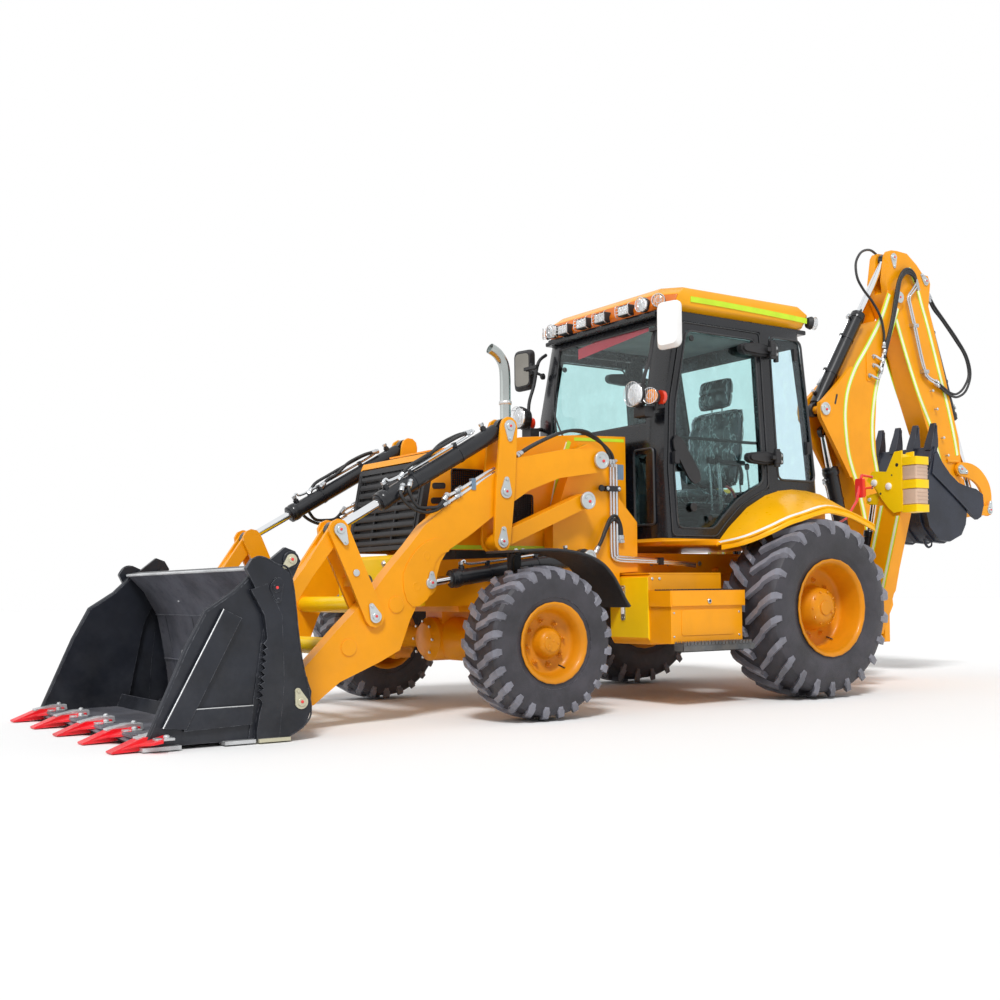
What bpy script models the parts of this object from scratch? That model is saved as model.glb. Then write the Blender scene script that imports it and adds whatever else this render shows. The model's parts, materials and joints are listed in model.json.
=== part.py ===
"""Backhoe loader: four-in-one loader bucket in front, centre-pivot digger arm behind."""
import math

import bmesh
import bpy
from mathutils import Matrix, Vector

for old in list(bpy.data.objects):
    bpy.data.objects.remove(old, do_unlink=True)

# Driving dimensions in metres. +X is the machine's left, +Y its rear, +Z up.
# The y values below are measured from the rear axle; CENTRE_Y then moves the whole machine.
CENTRE_Y = 0.7165
WHEELBASE = 2.308
FRONT_HUB_Z = 0.449
REAR_HUB_Z = 0.613
STEER_X = 0.70
RUNNING_GAP = 0.0008

ARM_X = (0.55, 0.65)
ARM_MID = 0.60
PLATE_OUT = (0.657, 0.679)
PLATE_IN = (0.521, 0.543)
LUG_X = (0.578, 0.622)
PIN_R = 0.032
THIN_PIN = 0.022
CYL_R = 0.050
ROD_R = 0.026

ARM_PIVOT = (-1.565, 1.58)
LINK_PIVOT = (-1.68, 1.318)
LIFT_BASE = (-1.67, 0.96)
LIFT_EYE = (-2.835, 0.801)
LEVER_TOP = (-2.283, 1.748)
LEVER_MID = (-2.315, 1.350)
LEVER_LOW = (-2.341, 1.048)
CROWD_TOP = (-3.437, 1.098)
CROWD_LOW = (-3.218, 0.614)
BUCKET_PIN = (-3.68, 0.19)
BUCKET_EAR = (-3.785, 0.635)
CLAM_PIVOT = (-3.965, 0.799)

CAB_X = 0.70
CAB_FLOOR = 1.046
CAB_WALL = 0.045
HOOD_X = 0.435
HOOD_HINGE = (-2.80, 1.00)

SWING_Y = 1.38
BOOM_FOOT = (1.85, 0.62)
BOOM_BASE = (1.62, 0.78)
BOOM_EAR = (1.19, 2.187)
BOOM_ROD_PIN = (1.30, 2.02)
DIPPER_PIVOT = (2.13, 3.20)
DIPPER_HORN = (2.10, 3.54)
DIG_TOP = (2.525, 3.394)
ROCKER_PIVOT = (2.93, 1.78)
ROCKER_END = (3.31, 1.43)
DIG_PIVOT = (2.83, 1.54)
DIG_EAR = (2.86, 1.385)
BOOM_X = 0.12
DIPPER_X = 0.10
DIG_X = 0.32
STAB_PIVOT = (0.695, 0.45)
STAB_Y = (0.93, 1.05)

PAINT = {
    "amber": ((0.78, 0.27, 0.03), 0.0, 0.35),
    "yellow": ((0.85, 0.55, 0.02), 0.0, 0.35),
    "black": ((0.02, 0.02, 0.022), 0.0, 0.45),
    "dark": ((0.035, 0.035, 0.04), 0.1, 0.5),
    "grey": ((0.30, 0.31, 0.32), 0.4, 0.45),
    "rubber": ((0.018, 0.018, 0.018), 0.0, 0.85),
    "chrome": ((0.75, 0.76, 0.78), 1.0, 0.15),
    "cushion": ((0.04, 0.04, 0.045), 0.0, 0.8),
    "red": ((0.55, 0.02, 0.02), 0.0, 0.4),
}


def paint(obj, name):
    colour, metallic, roughness = PAINT[name]
    mat = bpy.data.materials.new(obj.name)
    mat.use_nodes = True
    shader = mat.node_tree.nodes["Principled BSDF"]
    shader.inputs["Base Color"].default_value = (*colour, 1.0)
    shader.inputs["Metallic"].default_value = metallic
    shader.inputs["Roughness"].default_value = roughness
    mat.diffuse_color = (*colour, 1.0)
    obj.data.materials.clear()
    obj.data.materials.append(mat)


def solid(verts, faces, name="piece"):
    mesh = bpy.data.meshes.new(name)
    mesh.from_pydata([tuple(v) for v in verts], [], faces)
    work = bmesh.new()
    work.from_mesh(mesh)
    bmesh.ops.remove_doubles(work, verts=work.verts, dist=1e-6)
    bmesh.ops.recalc_face_normals(work, faces=work.faces)
    work.to_mesh(mesh)
    work.free()
    obj = bpy.data.objects.new(name, mesh)
    bpy.context.scene.collection.objects.link(obj)
    return obj


def loft(rings):
    """Closed skin through rings of equally many points, capped at both ends."""
    count = len(rings[0])
    verts = [point for ring in rings for point in ring]
    faces = []
    for k in range(len(rings) - 1):
        for i in range(count):
            j = (i + 1) % count
            faces.append((k * count + i, k * count + j, (k + 1) * count + j, (k + 1) * count + i))
    faces.append(tuple(range(count)))
    faces.append(tuple(range(len(verts) - count, len(verts))))
    return solid(verts, faces)


def place(axis, along, a, b):
    return {"X": (along, a, b), "Y": (a, along, b), "Z": (a, b, along)}[axis]


def plate(outline, lo, hi, axis="X"):
    """A flat profile pushed straight from lo to hi along an axis."""
    return loft([[place(axis, s, a, b) for a, b in outline] for s in (lo, hi)])


def block(x, y, z):
    return plate([(y[0], z[0]), (y[1], z[0]), (y[1], z[1]), (y[0], z[1])], x[0], x[1])


def turned(profile, centre, segments=32, axis="X"):
    """A closed (along, radius) profile revolved about a line through centre."""
    rings = []
    for step in range(segments):
        turn = 2 * math.pi * step / segments
        rings.append([place(axis, s, centre[0] + r * math.cos(turn), centre[1] + r * math.sin(turn))
                      for s, r in profile])
    count = len(profile)
    verts = [point for ring in rings for point in ring]
    faces = []
    for k in range(segments):
        n = (k + 1) % segments
        for i in range(count):
            j = (i + 1) % count
            if profile[i][1] < 1e-9 and profile[j][1] < 1e-9:
                continue
            face = [k * count + i, k * count + j, n * count + j, n * count + i]
            if profile[i][1] < 1e-9:
                face.pop(3)
            elif profile[j][1] < 1e-9:
                face.pop(2)
            faces.append(tuple(face))
    return solid(verts, faces)


def disc(centre, radius, lo, hi, axis="X", segments=12):
    return turned([(lo, 0.0), (lo, radius), (hi, radius), (hi, 0.0)], centre, segments, axis)


def bore(centre, lo, hi, pin=PIN_R, axis="X", segments=16):
    """The tool for a hole whose flats still clear a pin of this radius as it turns."""
    return disc(centre, (pin + RUNNING_GAP) / math.cos(math.pi / segments), lo, hi, axis, segments)


def bar(start, end, radius, segments=12):
    """A round bar between two points in space."""
    start, end = Vector(start), Vector(end)
    length = (end - start).length
    obj = turned([(0.0, 0.0), (0.0, radius), (length, radius), (length, 0.0)], (0, 0), segments, "Z")
    turn = Vector((0, 0, 1)).rotation_difference(end - start).to_matrix().to_4x4()
    obj.data.transform(Matrix.Translation(start) @ turn)
    return obj


def boolean(target, tools, operation):
    for tool in tools:
        step = target.modifiers.new("step", "BOOLEAN")
        step.operation = operation
        step.solver = "EXACT"
        step.object = tool
        graph = bpy.context.evaluated_depsgraph_get()
        mesh = bpy.data.meshes.new_from_object(target.evaluated_get(graph))
        target.modifiers.clear()
        target.data = mesh
        bpy.data.objects.remove(tool, do_unlink=True)
    return target


def join(target, *tools):
    return boolean(target, tools, "UNION")


def cut(target, *tools):
    return boolean(target, tools, "DIFFERENCE")


def finish(obj, name, colour, pivot=(0.0, 0.0, 0.0)):
    """Names and paints a piece, and sets its origin on the axis it turns about."""
    work = bmesh.new()
    work.from_mesh(obj.data)
    bmesh.ops.remove_doubles(work, verts=work.verts, dist=5e-5)
    bmesh.ops.dissolve_degenerate(work, edges=work.edges, dist=5e-5)
    bmesh.ops.recalc_face_normals(work, faces=work.faces)
    work.to_mesh(obj.data)
    work.free()
    obj.name = name
    obj.data.name = name
    paint(obj, colour)
    obj.data.transform(Matrix.Translation(-Vector(pivot)))
    obj.location = Vector(pivot) + Vector((0.0, CENTRE_Y, 0.0))
    return obj


def sided(side, pair):
    return tuple(sorted((side * pair[0], side * pair[1])))


def along(a, b, distance):
    """The point a distance from a towards b, in a side view."""
    length = math.dist(a, b)
    return tuple(p + (q - p) * distance / length for p, q in zip(a, b))


def bone(a, b, ra, rb, lo, hi, waist=None, steps=5):
    """A flat lever between two eyes: round ends, and straight or waisted flanks."""
    angle = math.atan2(b[1] - a[1], b[0] - a[0])
    outline = []
    for centre, radius, start in ((b, rb, angle - math.pi / 2), (a, ra, angle + math.pi / 2)):
        for k in range(steps + 1):
            turn = start + math.pi * k / steps
            outline.append((centre[0] + radius * math.cos(turn), centre[1] + radius * math.sin(turn)))
        if waist:
            turn = start + math.pi
            mid = ((a[0] + b[0]) / 2, (a[1] + b[1]) / 2)
            outline.append((mid[0] + waist * math.cos(turn), mid[1] + waist * math.sin(turn)))
    return plate(outline, lo, hi)


def lever(side, pins, ends, radius, belly):
    """A pair of plates either side of the arm, joined by their pins."""
    plates = [bone(*ends, radius, radius, *sided(side, span), belly) for span in (PLATE_OUT, PLATE_IN)]
    span = sided(side, (PLATE_IN[0] + 0.002, PLATE_OUT[1] - 0.002))
    return join(*plates, *[disc(pin, PIN_R, *span) for pin in pins])


def barrel(base, eye, length, radius, x, rod_r, eye_half=0.022, eye_r=0.055):
    """A cylinder tube from its base eye, with a collar at the rod's end, bored for the rod."""
    angle = math.atan2(eye[1] - base[1], eye[0] - base[0])
    reach = eye_r + 0.004
    profile = [(reach, 0.0), (reach, radius), (length - 0.06, radius), (length - 0.06, radius + 0.005),
               (length, radius + 0.005), (length, rod_r + 0.0015), (reach + 0.03, rod_r + 0.0015),
               (reach + 0.03, 0.0)]
    tube = turned(profile, (0, 0), 14, "Y")
    tongue = block((-eye_half, eye_half), (0.004, reach + 0.012), (-radius * 0.74, radius * 0.74))
    tube = join(disc((0.0, 0.0), eye_r, -eye_half, eye_half, "X", 18), tongue, tube)
    tube.data.transform(Matrix.Translation((x, *base)) @ Matrix.Rotation(angle, 4, "X"))
    return cut(tube, bore(base, x - 0.1, x + 0.1))


def ram(base, eye, tail, radius, x, eye_half=0.022, eye_r=0.05):
    """A piston rod with its eye at the far end; tail is where it starts inside the tube."""
    shaft = bar((x, *along(base, eye, tail)), (x, *along(eye, base, 0.01)), radius, 12)
    rod = join(shaft, disc(eye, eye_r, x - eye_half, x + eye_half))
    return cut(rod, bore(eye, x - 0.2, x + 0.2))


# ---------------------------------------------------------------- wheels
# name, axle y, hub z, tyre (inner x, outer x), tyre radius, bead radius, rim faces, disc x, hub
WHEELS = (
    ("front", -WHEELBASE, FRONT_HUB_Z, (0.803, 1.152), FRONT_HUB_Z, 0.214, (0.812, 1.148), 1.030,
     ((1.118, 0.0), (1.118, 0.055), (1.100, 0.082), (1.050, 0.086)), 0.965, 0.074),
    ("rear", 0.0, REAR_HUB_Z, (0.714, 1.202), REAR_HUB_Z, 0.310, (0.735, 1.192), 0.985,
     ((1.128, 0.0), (1.128, 0.080), (1.105, 0.130), (1.015, 0.150)), 0.880, 0.140),
)


def tyre_profile(span, radius, bead):
    inner, outer = span
    mid, half = (inner + outer) / 2, (outer - inner) / 2
    flank = ((0.80, bead), (0.93, bead + 0.045), (1.0, bead + 0.42 * (radius - bead)),
             (0.985, bead + 0.70 * (radius - bead)), (0.90, radius - 0.018), (0.74, radius - 0.002))
    left = [(mid - k * half, r) for k, r in flank]
    right = [(mid + k * half, r) for k, r in reversed(flank)]
    return left + [(mid, radius)] + right


def rim_profile(faces, bead, web, hub, back, back_r):
    inner, outer = faces
    lip, drop = bead + 0.022, bead * 0.9965 - 0.0005
    return [*hub, (web + 0.014, hub[-1][1] + 0.02), (web + 0.012, bead - 0.045), (web + 0.05, bead - 0.024),
            (outer - 0.02, bead - 0.018), (outer, lip - 0.012), (outer, lip), (outer - 0.010, lip),
            (outer - 0.018, drop), (inner + 0.018, drop), (inner + 0.010, lip), (inner, lip),
            (inner, lip - 0.012), (inner + 0.02, bead - 0.018), (web + 0.02, bead - 0.026),
            (web - 0.012, bead - 0.055), (web - 0.012, back_r), (back, back_r), (back, 0.0)]


for end, y, z, tyre_x, radius, bead, rim_x, web, hub, back, back_r in WHEELS:
    for label, side in (("left", 1), ("right", -1)):
        segments = 36 if end == "front" else 40
        tyre = turned([(side * x, r) for x, r in tyre_profile(tyre_x, radius, bead)], (y, z), segments)
        finish(tyre, f"tyre_{end}_{label}", "rubber", (side * sum(tyre_x) / 2, y, z))
        rim = turned([(side * x, r) for x, r in rim_profile(rim_x, bead, web, hub, back, back_r)],
                     (y, z), 24)
        finish(rim, f"rim_{end}_{label}", "amber", (side * sum(tyre_x) / 2, y, z))

# ---------------------------------------------------------------- chassis
RAIL = [(-2.74, 0.66), (0.95, 0.66), (0.95, 1.00), (-1.15, 1.00), (-2.74, 0.94)]
TOWER = [(-1.86, 0.80), (-1.86, 1.16), (-1.76, 1.42), (-1.66, 1.66), (-1.565, 1.70), (-1.46, 1.66),
         (-1.30, 1.34), (-1.16, 1.20), (-1.16, 0.87), (-1.315, 0.86), (-1.315, 0.655), (-1.60, 0.655)]
TOWER_X = (0.445, 0.540)
rail_x = (0.30, 0.38)
chassis = join(plate(RAIL, *rail_x), block((-0.42, 0.42), (-2.88, -2.735), (0.668, 0.975)))
chassis = join(chassis, plate(RAIL, -rail_x[1], -rail_x[0]),
               block((-0.50, 0.50), (-1.72, -1.32), (0.665, 0.84)),
               block((-0.36, 0.36), (-2.46, -2.16), (0.625, 0.72)),
               block((-0.38, 0.38), (-0.24, 0.24), (0.665, 0.86)))
for side in (1, -1):
    lo, hi = sided(side, TOWER_X)
    pins = [disc(at, PIN_R, *sided(side, (TOWER_X[1] - 0.01, 0.672)))
            for at in (ARM_PIVOT, LINK_PIVOT, LIFT_BASE)]
    chassis = join(chassis, plate(TOWER, lo, hi), *pins)
AXLE = [(-0.70, 0.0), (-0.70, 0.130), (-0.60, 0.150), (-0.55, 0.105), (-0.26, 0.115), (-0.16, 0.205),
        (0.16, 0.205), (0.26, 0.115), (0.55, 0.105), (0.60, 0.150), (0.70, 0.130), (0.70, 0.0)]
chassis = join(chassis, turned(AXLE, (0.0, REAR_HUB_Z), 20))
spindle = [(-0.8795, 0.0), (-0.8795, 0.10), (0.8795, 0.10), (0.8795, 0.0)]
chassis = join(chassis, turned(spindle, (0.0, REAR_HUB_Z), 16))
# Rear frame: a cross box, clevis cheeks for the stabilisers, and two lugs for the swing post.
chassis = join(chassis, block((-0.50, 0.50), (0.84, 1.20), (0.36, 1.04)),
               block((-0.78, 0.78), (0.868, 0.924), (0.34, 0.60)),
               block((-0.78, 0.78), (1.056, 1.112), (0.34, 0.60)),
               disc((0.0, SWING_Y), 0.035, 0.42, 1.02, "Z"))
SWING_LUG = [(-0.17, 1.19), (0.17, 1.19), (0.085, 1.41), (0.050, 1.45), (-0.050, 1.45), (-0.085, 1.41)]
chassis = join(chassis, plate(SWING_LUG, 0.985, 1.036, "Z"), plate(SWING_LUG, 0.404, 0.455, "Z"))
for side in (1, -1):
    chassis = join(chassis, disc((side * STAB_PIVOT[0], STAB_PIVOT[1]), 0.035, 0.87, 1.11, "Y"))
# ---------------------------------------------------------------- tanks and tool box
TANK = [(-1.30, 0.44), (-1.27, 0.395), (-0.69, 0.395), (-0.650, 0.44), (-0.650, 0.853), (-1.27, 0.853),
        (-1.30, 0.83)]
for side in (1, -1):
    tank = plate(TANK, *sided(side, (0.42, 0.798)))
    tank = join(tank, block(sided(side, (0.32, 0.50)), (-1.10, -0.80), (0.70, 0.80)))
    box = block(sided(side, (0.79, 1.0)), (-1.285, -0.660), (0.405, 0.712))
    box = cut(box, block(sided(side, (0.806, 0.988)), (-1.273, -0.672), (0.417, 0.80)))
    step = block(sided(side, (0.99, 1.05)), (-1.24, -0.70), (0.352, 0.410))
    chassis = join(chassis, join(tank, box, step))
    if side < 0:
        continue
    lid = block(sided(side, (0.808, 1.014)), (-1.30, -0.645), (0.640, 0.742))
    lid = cut(lid, block(sided(side, (0.79, 1.003)), (-1.288, -0.657), (0.60, 0.7155)))
    finish(lid, "tool_box_lid", "black", (side * 0.808, 0.0, 0.735))
engine = join(block((-0.27, 0.27), (-2.42, -1.322), (0.86, 1.42)),
              block((-0.31, 0.31), (-2.25, -2.15), (0.88, 0.93)), block((-0.31, 0.31), (-1.65, -1.55), (0.88, 0.93)))
finish(join(chassis, engine), "chassis_frame", "amber")

front = [(-0.66, 0.0), (-0.66, 0.075), (-0.30, 0.065), (-0.16, 0.14), (0.16, 0.14), (0.30, 0.065),
         (0.66, 0.075), (0.66, 0.0)]
axle = join(turned(front, (-WHEELBASE, FRONT_HUB_Z), 16),
            block((-0.10, 0.10), (-2.42, -2.196), (0.50, 0.6245)))
for side in (1, -1):
    axle = join(axle, block(sided(side, (0.60, 0.762)), (-2.368, -2.248), (0.300, 0.588)))
    axle = cut(axle, block(sided(side, (0.635, 0.80)), (-2.40, -2.22), (0.328, 0.560)))
    axle = cut(axle, bore((side * STEER_X, -WHEELBASE), 0.25, 0.65, 0.028, "Z"))

GUARD = [(-2.515, 0.982), (-2.30, 0.992), (-2.13, 0.982), (-2.0, 0.954), (-1.90, 0.905), (-1.82, 0.825),
         (-1.74, 0.70), (-1.705, 0.655)]
skin = GUARD + [(y - 0.004, z - 0.012) for y, z in reversed(GUARD)]
for side in (1, -1):
    axle = join(axle, block(sided(side, (0.735, 0.7615)), (-2.35, -2.266), (0.570, 0.9845)),
                plate(skin, *sided(side, (0.757, 1.10))))
finish(axle, "front_axle", "dark")

for label, side in (("left", 1), ("right", -1)):
    knuckle = join(disc((side * STEER_X, -WHEELBASE), 0.055, 0.330, 0.558, "Z"),
                   disc((side * STEER_X, -WHEELBASE), 0.028, 0.290, 0.598, "Z"),
                   turned([(side * x, r) for x, r in ((STEER_X, 0.0), (STEER_X, 0.05), (0.80, 0.05),
                                                      (0.815, 0.07), (0.9645, 0.07), (0.9645, 0.0))],
                          (-WHEELBASE, FRONT_HUB_Z), 16))
    finish(knuckle, f"steering_knuckle_{label}", "black", (side * STEER_X, -WHEELBASE, FRONT_HUB_Z))

# ---------------------------------------------------------------- platform and fenders
# inner y, inner z, outer x, outer y, outer z; the front tip starts at the cab and widens rearward
FENDER = ((-0.600, 1.052, 0.745, -0.585, 1.058), (-0.480, 1.170, 0.920, -0.540, 1.088),
          (-0.300, 1.312, 1.040, -0.430, 1.151), (-0.120, 1.402, 1.090, -0.301, 1.212),
          (0.016, 1.440, 1.130, -0.210, 1.244), (0.150, 1.455, 1.150, 0.020, 1.300),
          (0.300, 1.450, 1.150, 0.250, 1.270), (0.450, 1.430, 1.150, 0.450, 1.205),
          (0.500, 1.400, 1.150, 0.500, 1.185))
FENDER_X = (0.7012, 0.7076)
SKIN = 0.016
LIP = 0.042
platform = block((-0.70, 0.70), (-1.085, 0.498), (CAB_FLOOR, 1.0885))
for side in (1, -1):
    a = side * (FENDER_X[0] + 0.002)
    rings = []
    for iy, iz, ox, oy, oz in FENDER:
        b, c = side * ox, side * (ox - 0.012)
        rings.append([(a, iy, iz), (b, oy, oz), (b, oy, oz - LIP), (c, oy, oz - LIP), (c, oy, oz - SKIN),
                      (a, iy, iz - SKIN)])
    web = [(row[0], row[1] - 0.006) for row in FENDER]
    web = web[:-1] + [(0.496, 1.380), (0.496, CAB_FLOOR + 0.004), (-0.600, CAB_FLOOR + 0.004)]
    sill = block(sided(side, (0.69, 0.7045)), (-0.59, 0.49), (CAB_FLOOR + 0.002, 1.086))
    platform = join(platform, sill, plate(web[1:], *sided(side, FENDER_X)), loft(rings))
console = [(-0.99, 1.08), (-0.70, 1.08), (-0.66, 1.20), (-0.74, 1.60), (-0.80, 1.72), (-0.90, 1.70)]
platform = join(platform, plate(console, -0.13, 0.13),
                bar((0, -0.80, 1.66), (0, -0.70, 1.80), 0.022, 12))
wheel = turned([(-0.012, 0.178), (0.0, 0.166), (0.012, 0.178), (0.0, 0.192)], (0, 0), 20, "Z")
spoke = block((-0.175, 0.175), (-0.03, 0.03), (-0.007, 0.007))
wheel = join(wheel, spoke)
wheel.data.transform(Matrix.Translation((0, -0.70, 1.80)) @ Matrix.Rotation(math.radians(-36), 4, "X"))
platform = join(platform, wheel)
finish(platform, "platform_fenders", "amber")

# ---------------------------------------------------------------- cab
# z, front y, corner y, corner x, rear y
CAB = ((1.090, -1.080, -1.030, 0.600, 0.490), (1.560, -1.092, -1.062, 0.600, 0.455),
       (2.030, -1.060, -1.040, 0.595, 0.395), (2.600, -0.965, -0.920, 0.585, 0.290))


def cab_ring(z, front, corner, corner_x, rear, inset=0.0):
    wide, slim = CAB_X - inset, corner_x - inset * 0.6
    return [(slim, front + inset, z), (wide, corner + inset * 0.5, z), (wide, rear - 0.07, z),
            (wide - 0.05, rear - inset, z), (-wide + 0.05, rear - inset, z), (-wide, rear - 0.07, z),
            (-wide, corner + inset * 0.5, z), (-slim, front + inset, z)]


def rim_of(rows, inset, low, high):
    rings = [cab_ring(*row, inset) for row in rows]
    rings[0] = [(x, y, z + low) for x, y, z in rings[0]]
    rings[-1] = [(x, y, z + high) for x, y, z in rings[-1]]
    return loft(rings)


DOOR = [(-0.992, 1.105), (-0.590, 1.105), (-0.500, 1.197), (-0.360, 1.320), (-0.240, 1.385),
        (-0.080, 1.458), (-0.085, 1.600), (-0.152, 2.545), (-0.888, 2.545), (-1.005, 2.000), (-1.025, 1.540)]
DOOR_HINGE = (0.775, -0.060, 1.600)


def grown(outline, by):
    """The outline moved out by a distance, or in where it is negative."""
    moved = []
    count = len(outline)
    for i in range(count):
        p, q, r = Vector(outline[i - 1]), Vector(outline[i]), Vector(outline[(i + 1) % count])
        d1, d2 = (q - p).normalized(), (r - q).normalized()
        n1, n2 = Vector((d1.y, -d1.x)), Vector((d2.y, -d2.x))
        bis = (n1 + n2) / (1 + n1.dot(n2))
        moved.append(tuple(q + bis * by))
    return moved


cab = cut(rim_of(CAB, 0.0, 0.0, 0.0), rim_of(CAB, CAB_WALL, -0.05, 0.05))
REAR_SIDE = [(0.020, 1.52), (0.400, 1.52), (0.265, 2.53), (-0.055, 2.53)]
cab = cut(cab, plate(grown(DOOR, 0.006), -0.8, 0.8), plate(REAR_SIDE, -0.8, 0.8))
SCREEN = [(-0.535, 1.862), (0.535, 1.862), (0.540, 2.550), (-0.540, 2.550)]
LOW_SCREEN = [(0.430, 1.18), (0.555, 1.18), (0.555, 1.66), (0.430, 1.66)]
cab = cut(cab, plate(SCREEN, -1.3, -0.85, "Y"), plate(LOW_SCREEN, -1.3, -0.98, "Y"),
          plate([(-x, z) for x, z in LOW_SCREEN], -1.3, -0.98, "Y"),
          plate([(-0.60, 1.50), (0.60, 1.50), (0.60, 2.50), (-0.60, 2.50)], 0.15, 0.7, "Y"))
finish(cab, "cab_shell", "black")

for label, side in (("left", 1), ("right", -1)):
    door = plate(DOOR, *sided(side, (CAB_X - CAB_WALL, CAB_X)))
    door = cut(door, plate(grown(DOOR, -0.055), *sided(side, (0.5, 0.8))))
    finish(door, f"door_{label}", "black", (side * DOOR_HINGE[0], *DOOR_HINGE[1:]))

# z, half-width, front y, rear y
ROOF = ((2.603, 0.640, -1.015, 0.330), (2.655, 0.695, -1.040, 0.400), (2.730, 0.700, -1.010, 0.450),
        (2.790, 0.670, -0.930, 0.380), (2.820, 0.560, -0.700, 0.100))
roof = loft([[(w, f + 0.10, z), (w, r - 0.10, z), (w - 0.10, r, z), (0.10 - w, r, z), (-w, r - 0.10, z),
              (-w, f + 0.10, z), (0.12 - w, f, z), (w - 0.12, f, z)] for z, w, f, r in ROOF])
finish(roof, "cab_roof", "amber")

CUSHION = [(-0.42, 1.36), (-0.40, 1.50), (-0.02, 1.47), (0.02, 1.60), (0.08, 2.02), (0.20, 2.00), (0.16, 1.36)]
seat = join(plate(CUSHION, -0.25, 0.25), block((-0.18, 0.18), (-0.30, 0.10), (1.0895, 1.37)))
finish(seat, "seat", "cushion")

# ---------------------------------------------------------------- hood
HOOD = [(-2.80, 1.005), (-2.71, 1.55), (-2.69, 1.594), (-2.36, 1.665), (-2.03, 1.725), (-1.60, 1.765),
        (-1.165, 1.78), (-1.165, 1.005)]
hood = plate(HOOD, -HOOD_X, HOOD_X)
inner = [(-2.90, 0.90), (-2.90, 1.50), (-2.70, 1.556), (-2.36, 1.635), (-2.03, 1.695), (-1.60, 1.735),
         (-1.10, 1.75), (-1.10, 0.90)]
hood = cut(hood, plate(inner, -HOOD_X + 0.022, HOOD_X - 0.022),
           plate([(-2.55, 1.31), (-2.31, 1.31), (-2.31, 1.50), (-2.55, 1.50)], -0.5, 0.5),
           plate([(-2.11, 1.16), (-1.94, 1.16), (-1.94, 1.36), (-2.11, 1.36)], -0.5, 0.5))
GRILLE = [(-2.795, 1.02), (-2.708, 1.525), (-2.678, 1.525), (-2.765, 1.02)]
grille = plate(GRILLE, -HOOD_X + 0.021, HOOD_X - 0.021)
for k in range(7):
    z = 1.07 + 0.062 * k
    y = -2.795 + (z - 1.02) * 0.087 / 0.505
    louvre = block((-0.36, 0.36), (y - 0.05, y + 0.012), (z, z + 0.034))
    grille = cut(grille, louvre)
finish(join(hood, grille), "hood", "amber", (0.0, *HOOD_HINGE))
stack = join(bar((0.06, -1.89, 1.7475), (0.06, -1.89, 2.27), 0.042, 16),
             bar((0.06, -1.89, 2.25), (0.06, -1.975, 2.36), 0.042, 16))
stack = cut(stack, bar((0.06, -1.88, 2.235), (0.06, -1.99, 2.379), 0.037, 16))
finish(stack, "exhaust_stack", "chrome", (0.0, *HOOD_HINGE))

# ---------------------------------------------------------------- loader arms and levers
ARM = [(-1.565, 1.657), (-1.832, 1.639), (-2.224, 1.561), (-2.336, 1.483), (-2.554, 1.359), (-2.765, 1.216),
       (-2.868, 1.138), (-2.970, 1.020), (-3.103, 0.882), (-3.213, 0.752), (-3.422, 0.560), (-3.546, 0.437),
       (-3.642, 0.342), (-3.735, 0.240), (-3.752, 0.180), (-3.720, 0.128), (-3.660, 0.116), (-3.584, 0.138),
       (-3.517, 0.188), (-3.425, 0.255), (-3.300, 0.305), (-3.173, 0.356), (-3.042, 0.419), (-2.974, 0.589),
       (-2.900, 0.725), (-2.835, 0.728), (-2.797, 0.760), (-2.790, 0.847), (-2.765, 0.923), (-2.719, 0.988),
       (-2.557, 1.085), (-2.339, 1.234), (-2.114, 1.370), (-1.882, 1.454), (-1.565, 1.503), (-1.510, 1.526),
       (-1.488, 1.580), (-1.510, 1.634)]
CROSS_TUBES = ((-3.065, 0.678), (-3.370, 0.444))
arms = None
for side in (1, -1):
    arm = plate(ARM, *sided(side, ARM_X))
    arms = arm if arms is None else arms
    if side < 0:
        tubes = [disc(at, 0.05, -ARM_X[1] - 0.004, ARM_X[1] + 0.004, "X", 16) for at in CROSS_TUBES]
        arms = join(arms, tubes[0], arm, tubes[1])
slot = [(-2.780, 0.66), (-2.60, 0.70), (-2.60, 0.95), (-2.765, 0.945), (-2.850, 0.940), (-2.930, 0.925),
        (-2.955, 0.860), (-2.945, 0.79), (-2.915, 0.735), (-2.870, 0.66)]
for side in (1, -1):
    arms = cut(arms, plate(slot, *sided(side, (LUG_X[0] - 0.006, LUG_X[1] + 0.006))))
    for at in (ARM_PIVOT, LEVER_MID, CROWD_LOW, BUCKET_PIN):
        arms = cut(arms, bore(at, *sided(side, (0.54, 0.66))))
finish(arms, "loader_arms", "amber", (0.0, *ARM_PIVOT))

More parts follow.
